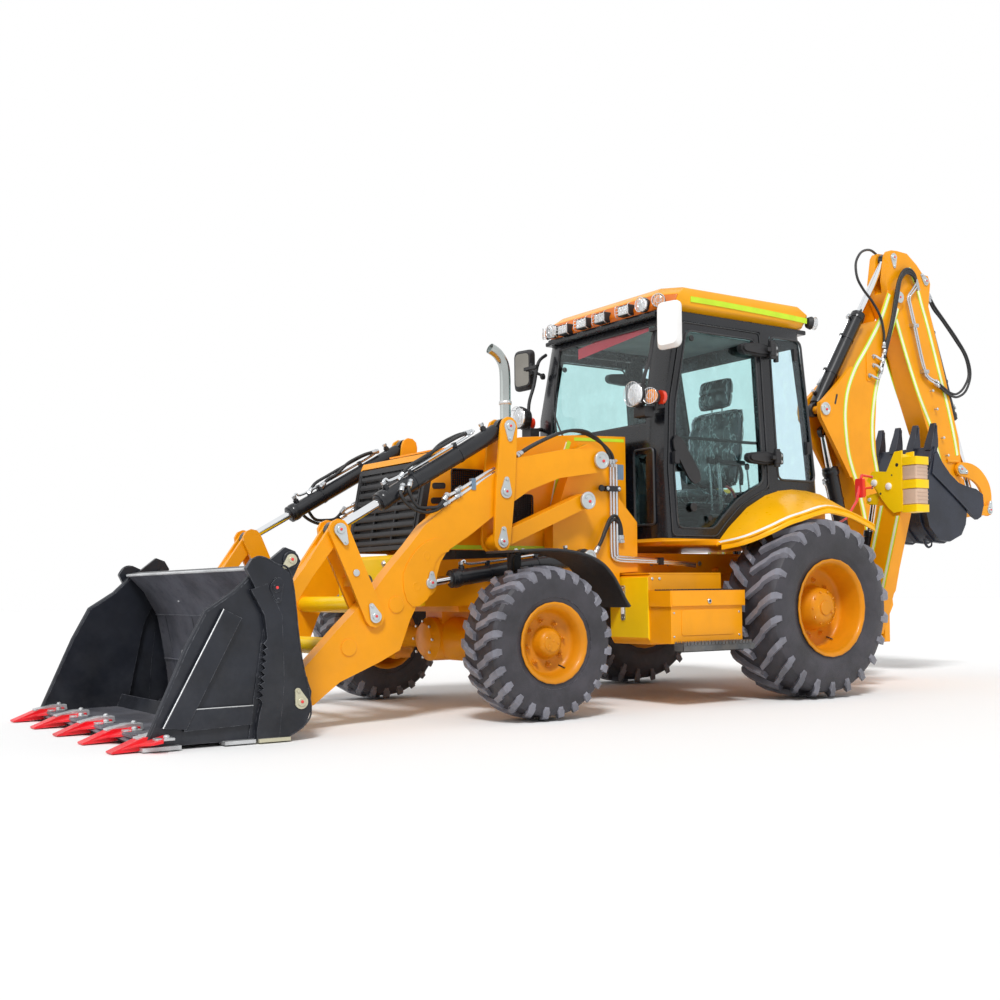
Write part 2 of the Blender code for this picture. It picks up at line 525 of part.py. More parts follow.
for label, side in (("left", 1), ("right", -1)):
    mid = side * ARM_MID
    lug = sided(side, LUG_X)
    rear = lever(side, (LEVER_TOP, LEVER_MID), (LEVER_TOP, LEVER_LOW), 0.060, 0.070)
    finish(rear, f"rear_lever_{label}", "amber", (mid, *LEVER_MID))

    link = bone(LEVER_LOW, LINK_PIVOT, 0.048, 0.048, *sided(side, (0.5525, 0.6475)), 0.047)
    link = cut(link, bore(LEVER_LOW, -1, 1), bore(LINK_PIVOT, -1, 1))
    finish(link, f"level_link_{label}", "amber", (mid, *LINK_PIVOT))

    finish(barrel(LIFT_BASE, LIFT_EYE, 1.005, CYL_R, mid, ROD_R), f"lift_barrel_{label}", "black",
           (mid, *LIFT_BASE))
    finish(ram(LIFT_BASE, LIFT_EYE, 0.10, ROD_R, mid), f"lift_rod_{label}", "chrome", (mid, *LIFT_EYE))
    finish(barrel(LEVER_TOP, CROWD_TOP, 0.99, CYL_R, mid, ROD_R), f"tilt_barrel_{label}", "black",
           (mid, *LEVER_TOP))
    finish(ram(LEVER_TOP, CROWD_TOP, 0.40, ROD_R, mid), f"tilt_rod_{label}", "chrome", (mid, *CROWD_TOP))

    crowd = []
    for span in (PLATE_OUT, PLATE_IN):
        crowd.append(bone(CROWD_TOP, CROWD_LOW, 0.062, 0.062, *sided(side, span), 0.060))
    outer, inner_x = PLATE_OUT[1] + 0.004, PLATE_IN[0] - 0.004
    crowd.append(block(sided(side, (PLATE_IN[1] - 0.001, PLATE_OUT[0] + 0.001)),
                       (-3.350, -3.320), (0.785, 0.835)))
    crowd = join(crowd[0], crowd[2], crowd[1])
    crowd = cut(crowd, bore(CROWD_LOW, -1, 1, THIN_PIN), bore(CROWD_TOP, *sided(side, (0.60, 0.80)), THIN_PIN))
    finish(crowd, f"crowd_lever_{label}", "amber", (mid, *CROWD_LOW))
    head = [(PLATE_OUT[0] - 0.002, 0.0), (PLATE_OUT[0] - 0.002, THIN_PIN), (PLATE_OUT[1] + 0.0006, THIN_PIN),
            (PLATE_OUT[1] + 0.0006, 0.036), (PLATE_OUT[1] + 0.010, 0.036), (PLATE_OUT[1] + 0.010, 0.0)]
    finish(turned([(side * x, r) for x, r in head], CROWD_TOP, 16), f"lever_pin_{label}", "chrome",
           (mid, *CROWD_TOP))
    pin = join(disc(CROWD_LOW, PIN_R, *sided(side, ARM_X)),
               disc(CROWD_LOW, THIN_PIN, *sided(side, (inner_x, outer))))
    finish(pin, f"crowd_pin_{label}", "chrome", (mid, *CROWD_LOW))

    forks = [bone(CROWD_TOP, BUCKET_EAR, 0.045, 0.045, *sided(side, span), 0.036)
             for span in ((0.5475, 0.5720), (0.6280, 0.6525))]
    spine = bone(along(CROWD_TOP, BUCKET_EAR, 0.14), BUCKET_EAR, 0.030, 0.040, *sided(side, (0.571, 0.629)))
    finish(join(forks[0], spine, forks[1]), f"tilt_link_{label}", "amber", (mid, *CROWD_TOP))

    pin = join(disc(BUCKET_PIN, PIN_R, *sided(side, ARM_X)),
               disc(BUCKET_PIN, THIN_PIN, *sided(side, (inner_x, outer))))
    finish(pin, f"bucket_pin_{label}", "chrome", (mid, *BUCKET_PIN))

# ---------------------------------------------------------------- four-in-one bucket
BLADE_FRONT = [(-4.090, 0.873), (-3.990, 0.770), (-3.905, 0.620), (-3.872, 0.460), (-3.845, 0.300),
               (-3.832, 0.180), (-3.860, 0.090), (-3.930, 0.046), (-4.070, 0.040)]
BLADE_BACK = [(-4.078, 0.018), (-3.915, 0.022), (-3.826, 0.078), (-3.782, 0.180), (-3.815, 0.310),
              (-3.842, 0.465), (-3.876, 0.630), (-3.962, 0.785), (-4.062, 0.892)]
SIDE_PLATE = [(-4.133, 0.877), (-4.100, 0.925), (-4.048, 0.937), (-3.965, 0.900), (-3.885, 0.842),
              (-3.838, 0.459), (-3.779, 0.170), (-3.815, 0.075), (-3.908, 0.022), (-4.081, 0.018),
              (-4.062, 0.150), (-4.010, 0.300), (-3.985, 0.500), (-4.010, 0.650), (-4.085, 0.780)]
back = plate(BLADE_FRONT + BLADE_BACK, -0.958, 0.958)
strip = [(-3.880, 0.600), (-3.860, 0.460), (-3.832, 0.300), (-3.818, 0.180), (-3.840, 0.090),
         (-3.826, 0.078), (-3.782, 0.180), (-3.815, 0.310), (-3.842, 0.465), (-3.870, 0.600)]
back = join(back, plate(strip, -1.005, 1.005))
EARS = [(-3.800, 0.100), (-3.680, 0.122), (-3.620, 0.158), (-3.612, 0.215), (-3.680, 0.400),
        (-3.728, 0.600), (-3.740, 0.665), (-3.785, 0.696), (-3.885, 0.690), (-3.835, 0.440), (-3.800, 0.300),
        (-3.800, 0.180)]
for side in (1, -1):
    back = join(back, plate(SIDE_PLATE, *sided(side, (1.0, 1.03))))
    for span in ((0.522, 0.543), (0.657, 0.678)):
        back = join(back, plate(EARS, *sided(side, span)))
    back = cut(back, bore(BUCKET_PIN, *sided(side, (0.4, 0.8)), THIN_PIN),
               bore(CLAM_PIVOT, *sided(side, (0.97, 1.1)), 0.030))
finish(back, "bucket_back", "dark", (0.0, *BUCKET_PIN))

CLAM_SIDE = [(-3.905, 0.985), (-3.850, 0.965), (-3.820, 0.915), (-3.895, 0.760), (-3.925, 0.700),
             (-3.990, 0.560), (-4.020, 0.420), (-4.095, 0.060), (-4.110, 0.019), (-4.600, 0.019),
             (-4.620, 0.050), (-4.424, 0.480), (-4.322, 0.662), (-4.170, 0.760), (-4.040, 0.880)]
CLAM_FLOOR = [(-4.110, 0.019), (-4.612, 0.012), (-4.635, 0.030), (-4.612, 0.052), (-4.160, 0.055),
              (-4.130, 0.130), (-4.105, 0.125)]
clam = plate(CLAM_FLOOR, -0.965, 0.965)
TOOTH = [(-4.500, 0.052), (-4.500, 0.074), (-4.640, 0.070), (-4.793, 0.010), (-4.793, 0.002),
         (-4.620, 0.010), (-4.600, 0.020), (-4.560, 0.040)]
for side in (1, -1):
    clam = join(clam, plate(CLAM_SIDE, *sided(side, (0.9635, 0.9945))),
                disc(CLAM_PIVOT, 0.030, *sided(side, (0.964, 1.040))))
for k in range(-2, 3):
    x = 0.473 * k
    clam = join(clam, plate(TOOTH, x - 0.045, x + 0.045))
finish(clam, "clam_jaw", "dark", (0.0, *CLAM_PIVOT))

# ---------------------------------------------------------------- digger
POST = [(1.315, 0.47), (1.315, 0.97), (1.45, 0.97), (1.60, 0.90), (1.76, 0.78), (1.93, 0.71), (1.945, 0.60),
        (1.90, 0.53), (1.80, 0.47)]
post = join(plate(POST, 0.127, 0.160), block((-0.135, 0.135), (1.315, 1.450), (0.4555, 0.580)),
            plate(POST, -0.160, -0.127), block((-0.135, 0.135), (1.315, 1.450), (0.860, 0.9845)),
            disc(BOOM_FOOT, 0.040, -0.170, 0.170), disc(BOOM_BASE, PIN_R, -0.165, 0.165))
post = cut(post, bore((0.0, SWING_Y), 0.3, 1.2, 0.035, "Z"))
finish(post, "swing_post", "amber", (0.0, SWING_Y, 0.70))

BOOM = [(2.075, 3.262), (2.005, 3.245), (1.960, 3.160), (1.890, 3.010), (1.730, 2.760), (1.560, 2.490),
        (1.470, 2.280), (1.410, 2.030), (1.430, 1.830), (1.480, 1.710), (1.550, 1.550), (1.700, 1.060),
        (1.760, 0.720), (1.780, 0.570), (1.850, 0.540), (1.900, 0.580), (2.030, 0.720), (2.080, 0.890),
        (2.010, 1.100), (1.850, 1.680), (1.810, 1.850), (1.800, 2.050), (1.830, 2.390), (1.890, 2.550),
        (1.970, 2.740), (2.050, 2.960), (2.130, 3.090), (2.205, 3.160), (2.205, 3.240), (2.150, 3.275)]
EAR = [(1.135, 2.165), (1.135, 2.235), (1.180, 2.262), (1.380, 2.430), (1.520, 2.560), (1.650, 2.500),
       (1.550, 1.640), (1.480, 1.650), (1.300, 1.900), (1.140, 2.120)]
boom = plate(BOOM, -BOOM_X, BOOM_X)
for side in (1, -1):
    boom = join(boom, plate(EAR, *sided(side, (0.085, BOOM_X + 0.001))))
boom = join(boom, disc(BOOM_EAR, PIN_R, -0.119, 0.119))
head = [(1.940, 3.320), (1.840, 3.000), (2.020, 2.880), (2.300, 2.960), (2.300, 3.350)]
groove = [(1.360, 1.720), (1.478, 1.745), (1.478, 2.075), (1.360, 2.110)]
boom = cut(boom, plate(head, -DIPPER_X - 0.006, DIPPER_X + 0.006), plate(groove, -0.040, 0.040),
           bore(BOOM_FOOT, -0.2, 0.2, 0.040))
boom = join(boom, disc(DIPPER_PIVOT, 0.040, -BOOM_X - 0.012, BOOM_X + 0.012))
finish(boom, "boom", "amber", (0.0, *BOOM_FOOT))

DIPPER = [(2.040, 3.560), (2.000, 3.340), (2.030, 3.180), (2.110, 3.050), (2.230, 2.770), (2.360, 2.440),
          (2.520, 2.100), (2.590, 1.980), (2.755, 1.560), (2.790, 1.490), (2.840, 1.478), (2.885, 1.500),
          (2.960, 1.710), (2.985, 1.790), (2.950, 2.060), (2.850, 2.350), (2.770, 2.600), (2.650, 2.930),
          (2.560, 3.180), (2.590, 3.380), (2.560, 3.445), (2.490, 3.450), (2.410, 3.520), (2.280, 3.600),
          (2.150, 3.605), (2.070, 3.600)]
dipper = plate(DIPPER, -DIPPER_X, DIPPER_X)
horn = [(1.900, 3.150), (2.020, 3.240), (2.190, 3.385), (2.226, 3.540), (2.226, 3.700), (1.900, 3.700)]
tail = [(2.455, 3.32), (2.66, 3.32), (2.66, 3.52), (2.455, 3.52)]
dipper = cut(dipper, plate(horn, -0.036, 0.036), plate(tail, -0.030, 0.030),
             plate([(2.45, 3.33), (2.48, 3.10), (2.67, 2.56), (2.90, 2.50), (2.80, 3.44)], -0.064, 0.064))
dipper = join(dipper, disc(DIG_TOP, PIN_R, -0.09, 0.09))
dipper = cut(dipper, bore(DIPPER_PIVOT, -0.2, 0.2, 0.040), bore(ROCKER_PIVOT, -0.2, 0.2))
dipper = join(dipper, disc(DIG_PIVOT, PIN_R, -0.135, 0.135))
finish(dipper, "dipper", "amber", (0.0, *DIPPER_PIVOT))

banana = [bone(ROCKER_PIVOT, ROCKER_END, 0.055, 0.050, *sided(s, (0.106, 0.128)), 0.048) for s in (1, -1)]
rocker = join(banana[0], disc(ROCKER_PIVOT, PIN_R, -0.127, 0.127), banana[1])
finish(rocker, "rocker", "yellow", (0.0, *ROCKER_PIVOT))
straps = [bone(ROCKER_END, DIG_EAR, 0.045, 0.045, *sided(s, (0.134, 0.152)), 0.036) for s in (1, -1)]
middle = along(ROCKER_END, DIG_EAR, 0.250)
straps = join(straps[0], disc(middle, 0.022, -0.14, 0.14), straps[1])
finish(straps, "bucket_link", "yellow", (0.0, *ROCKER_END))

SCOOP = [(2.320, 1.930), (2.290, 1.850), (2.230, 1.710), (2.190, 1.600), (2.180, 1.390), (2.230, 1.250),
         (2.360, 1.140), (2.500, 1.130), (2.660, 1.190), (2.720, 1.280), (2.745, 1.410), (2.690, 1.560),
         (2.510, 1.690), (2.420, 1.780)]
HOLLOW = [(2.420, 2.020), (2.345, 1.935), (2.312, 1.845), (2.252, 1.704), (2.212, 1.596), (2.203, 1.395),
          (2.248, 1.266), (2.368, 1.164), (2.496, 1.154), (2.644, 1.210), (2.697, 1.286), (2.721, 1.400),
          (2.800, 1.560), (2.600, 1.900)]
BRACKET = [(2.630, 1.196), (2.690, 1.320), (2.705, 1.430), (2.752, 1.560), (2.800, 1.605), (2.860, 1.600),
           (2.905, 1.540), (2.920, 1.400), (2.900, 1.335), (2.850, 1.320), (2.765, 1.235), (2.690, 1.165), (2.640, 1.160)]
scoop = cut(plate(SCOOP, -DIG_X, DIG_X), plate(HOLLOW, -DIG_X + 0.022, DIG_X - 0.022))
for side in (1, -1):
    scoop = join(scoop, plate(BRACKET, *sided(side, (0.106, 0.128))))
scoop = cut(scoop, bore(DIG_PIVOT, -0.2, 0.2))
POINT = [(2.318, 1.945), (2.262, 1.800), (2.322, 1.790), (2.368, 1.900), (2.375, 2.110), (2.360, 2.112)]
for k in range(4):
    x = -0.27 + 0.18 * k
    scoop = join(scoop, plate(POINT, x - 0.035, x + 0.035))
finish(scoop, "digger_bucket", "dark", (0.0, *DIG_PIVOT))

# name, base, eye, tube length, tube radius, rod radius, rod tail
DIG_CYLINDERS = (("boom", BOOM_BASE, BOOM_ROD_PIN, 0.98, 0.062, 0.032, 0.15),
                 ("dipper", BOOM_EAR, DIPPER_HORN, 1.02, 0.056, 0.030, 0.68),
                 ("bucket", DIG_TOP, ROCKER_END, 1.25, 0.052, 0.028, 0.95))
for name, base, eye, length, tube_r, rod_r, tail_at in DIG_CYLINDERS:
    finish(barrel(base, eye, length, tube_r, 0.0, rod_r), f"{name}_barrel", "black", (0.0, *base))
    finish(ram(base, eye, tail_at, rod_r, 0.0), f"{name}_rod", "chrome", (0.0, *eye))

# ---------------------------------------------------------------- stabilisers
LEG = [(0.625, 0.400), (0.695, 0.375), (0.770, 0.400), (0.885, 0.740), (1.040, 1.300), (1.060, 1.310),
       (1.060, 1.700), (1.010, 1.725), (0.930, 1.585), (0.815, 1.600), (0.765, 1.545), (0.845, 1.420),
       (0.740, 1.000), (0.635, 0.560)]
for label, side in (("left", 1), ("right", -1)):
    leg = plate([(side * x, z) for x, z in LEG], *STAB_Y, axis="Y")
    leg = cut(leg, bore((side * STAB_PIVOT[0], STAB_PIVOT[1]), 0.8, 1.2, 0.035, "Y"))
    pads = [block(sided(side, (1.055, 1.180)), STAB_Y, (z, z + 0.17)) for z in (1.295, 1.520)]
    finish(join(leg, *pads), f"stabiliser_leg_{label}", "yellow",
           (side * STAB_PIVOT[0], sum(STAB_Y) / 2, STAB_PIVOT[1]))
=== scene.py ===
import json
import math

import bmesh
import bpy
from mathutils import Matrix, Vector

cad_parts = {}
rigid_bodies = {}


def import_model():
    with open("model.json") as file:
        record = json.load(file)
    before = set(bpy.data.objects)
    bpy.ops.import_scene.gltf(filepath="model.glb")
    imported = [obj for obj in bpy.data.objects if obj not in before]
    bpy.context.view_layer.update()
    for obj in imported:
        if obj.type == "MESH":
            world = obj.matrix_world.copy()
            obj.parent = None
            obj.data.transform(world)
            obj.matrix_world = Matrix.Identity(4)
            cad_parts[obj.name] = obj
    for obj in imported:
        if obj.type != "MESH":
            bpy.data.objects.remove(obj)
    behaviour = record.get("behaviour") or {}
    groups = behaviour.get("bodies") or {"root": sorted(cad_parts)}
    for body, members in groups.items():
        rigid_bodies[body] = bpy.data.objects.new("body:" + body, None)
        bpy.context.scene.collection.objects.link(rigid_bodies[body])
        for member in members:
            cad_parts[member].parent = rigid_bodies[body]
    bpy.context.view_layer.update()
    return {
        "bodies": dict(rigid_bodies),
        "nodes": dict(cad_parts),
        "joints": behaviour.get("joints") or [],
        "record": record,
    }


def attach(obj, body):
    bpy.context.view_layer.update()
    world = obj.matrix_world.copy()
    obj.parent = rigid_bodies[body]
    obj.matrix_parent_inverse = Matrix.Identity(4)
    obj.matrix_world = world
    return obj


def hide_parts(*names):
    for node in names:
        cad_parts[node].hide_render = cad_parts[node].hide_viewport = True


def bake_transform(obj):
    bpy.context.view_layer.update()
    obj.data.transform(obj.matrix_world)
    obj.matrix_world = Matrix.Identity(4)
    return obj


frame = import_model()
nodes = frame["nodes"]
rearAxleY = 0.7165  # every y in this file is measured from the rear axle


def startGroup(name, inputs, outputs):
    tree = bpy.data.node_groups.new(name, "ShaderNodeTree")
    for label, kind, value in inputs:
        socket = tree.interface.new_socket(name=label, in_out="INPUT", socket_type=kind)
        socket.default_value = value
    for label, kind in outputs:
        tree.interface.new_socket(name=label, in_out="OUTPUT", socket_type=kind)
    return tree, tree.nodes.new("NodeGroupInput"), tree.nodes.new("NodeGroupOutput")


def mathNode(tree, operation, a, b=None, clamp=False):
    node = tree.nodes.new("ShaderNodeMath")
    node.operation = operation
    node.use_clamp = clamp
    for index, value in ((0, a), (1, b)):
        if value is None:
            continue
        if isinstance(value, (int, float)):
            node.inputs[index].default_value = value
        else:
            tree.links.new(value, node.inputs[index])
    return node.outputs[0]


def noiseNode(tree, vector, scale, detail=3.0, rough=0.55):
    node = tree.nodes.new("ShaderNodeTexNoise")
    node.inputs["Detail"].default_value = detail
    node.inputs["Roughness"].default_value = rough
    if isinstance(scale, (int, float)):
        node.inputs["Scale"].default_value = scale
    else:
        tree.links.new(scale, node.inputs["Scale"])
    tree.links.new(vector, node.inputs["Vector"])
    return node.outputs["Fac"]


def rampNode(tree, value, low, high, smooth=True):
    node = tree.nodes.new("ShaderNodeMapRange")
    node.interpolation_type = "SMOOTHSTEP" if smooth else "LINEAR"
    node.inputs["From Min"].default_value = low
    node.inputs["From Max"].default_value = high
    tree.links.new(value, node.inputs["Value"])
    return node.outputs["Result"]


def mixColours(tree, factor, a, b):
    node = tree.nodes.new("ShaderNodeMix")
    node.data_type = "RGBA"
    if isinstance(factor, (int, float)):
        node.inputs["Factor"].default_value = factor
    else:
        tree.links.new(factor, node.inputs["Factor"])
    for index, value in ((6, a), (7, b)):
        if isinstance(value, tuple):
            node.inputs[index].default_value = (*value, 1.0)
        else:
            tree.links.new(value, node.inputs[index])
    return node.outputs[2]


# paint grain: soft tones, fine orange peel and small blotches
grainGroup, grainIn, grainOut = startGroup(
    "paintGrain", (("Scale", "NodeSocketFloat", 1.0),),
    (("Tone", "NodeSocketFloat"), ("Fine", "NodeSocketFloat"), ("Patch", "NodeSocketFloat")))
coords = grainGroup.nodes.new("ShaderNodeTexCoord")
scaled = grainGroup.nodes.new("ShaderNodeVectorMath")
scaled.operation = "SCALE"
grainGroup.links.new(coords.outputs["Object"], scaled.inputs[0])
grainGroup.links.new(grainIn.outputs["Scale"], scaled.inputs["Scale"])
toneNoise = noiseNode(grainGroup, scaled.outputs[0], 3.5, 4.0)
fineNoise = noiseNode(grainGroup, scaled.outputs[0], 240.0, 2.0)
patchNoise = noiseNode(grainGroup, scaled.outputs[0], 21.0, 5.0, 0.7)
grainGroup.links.new(toneNoise, grainOut.inputs["Tone"])
grainGroup.links.new(fineNoise, grainOut.inputs["Fine"])
grainGroup.links.new(patchNoise, grainOut.inputs["Patch"])

# edge wear: where corners are sharp and the patch noise is high
wearGroup, wearIn, wearOut = startGroup(
    "edgeWear", (("Amount", "NodeSocketFloat", 0.4), ("Patch Scale", "NodeSocketFloat", 26.0)),
    (("Mask", "NodeSocketFloat"),))
roundNormal = wearGroup.nodes.new("ShaderNodeBevel")
roundNormal.samples = 4
roundNormal.inputs["Radius"].default_value = 0.005
flatNormal = wearGroup.nodes.new("ShaderNodeNewGeometry")
product = wearGroup.nodes.new("ShaderNodeVectorMath")
product.operation = "DOT_PRODUCT"
wearGroup.links.new(roundNormal.outputs[0], product.inputs[0])
wearGroup.links.new(flatNormal.outputs["Normal"], product.inputs[1])
edge = rampNode(wearGroup, mathNode(wearGroup, "SUBTRACT", 1.0, product.outputs["Value"]), 0.02, 0.16)
wearCoords = wearGroup.nodes.new("ShaderNodeTexCoord")
patches = noiseNode(wearGroup, wearCoords.outputs["Object"], wearIn.outputs["Patch Scale"], 6.0, 0.7)
patches = rampNode(wearGroup, patches, 0.4, 0.62)
wearGroup.links.new(
    mathNode(wearGroup, "MULTIPLY", mathNode(wearGroup, "MULTIPLY", edge, patches),
             wearIn.outputs["Amount"], True),
    wearOut.inputs["Mask"])

# dust: thicker near the ground, broken up, and caught in the grain
dustGroup, dustIn, dustOut = startGroup(
    "roadDust", (("Amount", "NodeSocketFloat", 0.2), ("Height", "NodeSocketFloat", 1.1)),
    (("Mask", "NodeSocketFloat"),))
dustCoords = dustGroup.nodes.new("ShaderNodeTexCoord")
split = dustGroup.nodes.new("ShaderNodeSeparateXYZ")
dustGroup.links.new(dustCoords.outputs["Object"], split.inputs[0])
low = mathNode(dustGroup, "SUBTRACT", 1.0,
               mathNode(dustGroup, "DIVIDE", split.outputs["Z"], dustIn.outputs["Height"]), True)
cloud = rampNode(dustGroup, noiseNode(dustGroup, dustCoords.outputs["Object"], 6.0, 6.0, 0.65), 0.35, 0.72)
dustGroup.links.new(
    mathNode(dustGroup, "MULTIPLY", mathNode(dustGroup, "MULTIPLY", low, cloud),
             dustIn.outputs["Amount"], True),
    dustOut.inputs["Mask"])


def placeGroup(tree, group, values):
    node = tree.nodes.new("ShaderNodeGroup")
    node.node_tree = group
    for label, value in values.items():
        node.inputs[label].default_value = value
    return node


def finishOf(name, colour, rough=0.4, metal=0.0, coat=0.0, tone=0.1, grain=0.02, scale=1.0,
             wear=0.0, worn=(0.35, 0.35, 0.36), dust=0.0, earth=(0.36, 0.3, 0.23), dustHeight=1.1,
             roughSpread=0.12, patch=0.0, shine=0.5):
    mat = bpy.data.materials.new(name)
    mat.use_nodes = True
    tree = mat.node_tree
    shader = tree.nodes["Principled BSDF"]
    shader.inputs["Metallic"].default_value = metal
    shader.inputs["Coat Weight"].default_value = coat
    shader.inputs["Specular IOR Level"].default_value = shine
    shader.inputs["Coat Roughness"].default_value = 0.08
    grainNode = placeGroup(tree, grainGroup, {"Scale": scale})
    darker = tuple(c * (1.0 - tone) for c in colour)
    lighter = tuple(min(1.0, c * (1.0 + tone)) for c in colour)
    tint = mixColours(tree, rampNode(tree, grainNode.outputs["Tone"], 0.3, 0.7), darker, lighter)
    if patch:
        dim = tuple(c * 0.45 for c in colour)
        spots = mathNode(tree, "MULTIPLY", rampNode(tree, grainNode.outputs["Patch"], 0.52, 0.7), patch)
        tint = mixColours(tree, spots, tint, dim)
    roughness = rampNode(tree, grainNode.outputs["Patch"], 0.25, 0.75, False)
    roughness = mathNode(tree, "ADD", mathNode(tree, "MULTIPLY", roughness, roughSpread),
                         rough - roughSpread / 2)
    if wear:
        wearNode = placeGroup(tree, wearGroup, {"Amount": wear, "Patch Scale": 26.0 * scale})
        tint = mixColours(tree, wearNode.outputs["Mask"], tint, worn)
    if dust:
        dustNode = placeGroup(tree, dustGroup, {"Amount": dust, "Height": dustHeight})
        tint = mixColours(tree, dustNode.outputs["Mask"], tint, earth)
        roughness = mathNode(tree, "ADD", roughness, mathNode(tree, "MULTIPLY",
                                                              dustNode.outputs["Mask"], 0.4), True)
    tree.links.new(tint, shader.inputs["Base Color"])
    tree.links.new(roughness, shader.inputs["Roughness"])
    bump = tree.nodes.new("ShaderNodeBump")
    bump.inputs["Strength"].default_value = min(1.0, grain * 8)
    bump.inputs["Distance"].default_value = grain * 0.02
    tree.links.new(grainNode.outputs["Fine"], bump.inputs["Height"])
    tree.links.new(bump.outputs["Normal"], shader.inputs["Normal"])
    return mat


amberPaint = finishOf("amberPaint", (0.9, 0.35, 0.0015), 0.34, coat=0.1, tone=0.05, grain=0.012, wear=0.1,
                      worn=(0.92, 0.6, 0.2), dust=0.06, dustHeight=0.9, shine=0.28)
# painted sunlight: a lighter, yellower copy of the amber paint, put on faces that face the light (tank front,
# front plate, arm cross tube, stabiliser ends and fittings)
paintedSunlitAmber = finishOf("paintedSunlitAmber", (0.96, 0.63, 0.004), 0.34, coat=0.08, tone=0.04, grain=0.012, wear=0.12,
                    worn=(0.95, 0.85, 0.4), dust=0.05, dustHeight=0.9, shine=0.25)
# rims in a darker amber than the body paint
rimPaint = finishOf("rimPaint", (0.66, 0.24, 0.002), 0.4, coat=0.08, tone=0.1, grain=0.02, wear=0.12,
                    worn=(0.9, 0.62, 0.2), dust=0.1, earth=(0.4, 0.2, 0.06), dustHeight=1.0, shine=0.25)
roofPaint = finishOf("roofPaint", (0.86, 0.37, 0.002), 0.32, coat=0.12, tone=0.05, grain=0.01, wear=0.05,
                     worn=(0.95, 0.7, 0.3), shine=0.28)
fasciaPaint = finishOf("fasciaPaint", (0.66, 0.15, 0.004), 0.38, coat=0.08, tone=0.1, grain=0.012, shine=0.25)
blackPaint = finishOf("blackPaint", (0.01, 0.011, 0.014), 0.3, coat=0.15, tone=0.25, grain=0.02, wear=0.22,
                      worn=(0.14, 0.14, 0.16), dust=0.04, dustHeight=1.3, shine=0.4)
cabBlack = finishOf("cabBlack", (0.006, 0.007, 0.01), 0.26, coat=0.25, tone=0.2, grain=0.01, wear=0.12,
                    worn=(0.08, 0.09, 0.11), shine=0.35)
trimBlack = finishOf("trimBlack", (0.014, 0.014, 0.016), 0.55, tone=0.25, grain=0.06, scale=1.4)
bucketSteel = finishOf("bucketSteel", (0.012, 0.014, 0.02), 0.34, metal=0.1, tone=0.35, grain=0.05, wear=0.75,
                       worn=(0.26, 0.27, 0.3), dust=0.12, earth=(0.16, 0.16, 0.17),
                       dustHeight=1.0, patch=0.15,
                       shine=0.4)
creamZinc = finishOf("creamZinc", (0.58, 0.55, 0.4), 0.38, metal=0.3, tone=0.1, grain=0.03, patch=0.12)
# painted sunlight on the fenders: a lighter, yellower amber for the fender faces that do not face down, while
# their undersides keep the plain amber
sunlitFenderAmber = finishOf("sunlitFenderAmber", (0.93, 0.45, 0.002), 0.3, coat=0.15, tone=0.05, grain=0.012, wear=0.08,
                       worn=(0.95, 0.75, 0.3), dust=0.04, dustHeight=1.4, shine=0.3)
# painted highlight: the lugs in a lighter blue-grey that stands for the sky reflected on shiny rubber; its
# worn edges, lighter again, are partly real wear and partly painted highlight
treadHighlight = finishOf("treadHighlight", (0.175, 0.175, 0.205), 0.36, tone=0.35, grain=0.1, wear=0.7,
                     worn=(0.42, 0.42, 0.48), patch=0.35)
bladeSteel = finishOf("bladeSteel", (0.15, 0.155, 0.185), 0.4, metal=0.45, tone=0.35, grain=0.08, wear=0.8,
                      worn=(0.55, 0.56, 0.6), dust=0.12, dustHeight=1.2, patch=0.45)
diggerSteel = finishOf("diggerSteel", (0.016, 0.02, 0.033), 0.36, metal=0.1, tone=0.3, grain=0.05, wear=0.7,
                       worn=(0.22, 0.24, 0.28), patch=0.1, shine=0.45)
castGrey = finishOf("castGrey", (0.1, 0.105, 0.11), 0.55, metal=0.4, tone=0.3, grain=0.12,
                    wear=0.4, patch=0.2,
                    dust=0.3, dustHeight=1.4)
zincSteel = finishOf("zincSteel", (0.52, 0.54, 0.56), 0.28, metal=0.85, tone=0.12, grain=0.03, patch=0.12)
paleWasher = finishOf("paleWasher", (0.56, 0.6, 0.61), 0.32, metal=0.55, tone=0.1, grain=0.03, patch=0.1)
pipeSteel = finishOf("pipeSteel", (0.66, 0.68, 0.7), 0.2, metal=0.9, tone=0.1, grain=0.01, patch=0.05)
rodChrome = finishOf("rodChrome", (0.8, 0.82, 0.84), 0.09, metal=1.0, tone=0.04, grain=0.004,
                     roughSpread=0.05)
stackChrome = finishOf("stackChrome", (0.44, 0.47, 0.46), 0.16, metal=0.95, tone=0.1, grain=0.01, patch=0.1)
castSilver = finishOf("castSilver", (0.55, 0.56, 0.57), 0.36, metal=0.6, tone=0.2, grain=0.1, wear=0.3,
                      worn=(0.8, 0.8, 0.8), patch=0.15)
toothRed = finishOf("toothRed", (0.8, 0.006, 0.018), 0.42, coat=0.1, tone=0.12, grain=0.05, wear=0.45,
                    worn=(0.6, 0.35, 0.36), dust=0.1, dustHeight=0.5, shine=0.3)
lockRed = finishOf("lockRed", (0.8, 0.03, 0.03), 0.35, coat=0.4, tone=0.05, grain=0.01)
limeTape = finishOf("limeTape", (0.56, 0.8, 0.03), 0.42, coat=0.1, tone=0.06, grain=0.05,
                    scale=2.0, shine=0.3)
paleTape = finishOf("paleTape", (0.9, 0.86, 0.66), 0.4, coat=0.2, tone=0.05, grain=0.05, scale=2.0)
whitePaint = finishOf("whitePaint", (0.88, 0.88, 0.87), 0.34, coat=0.4, tone=0.04, grain=0.01)
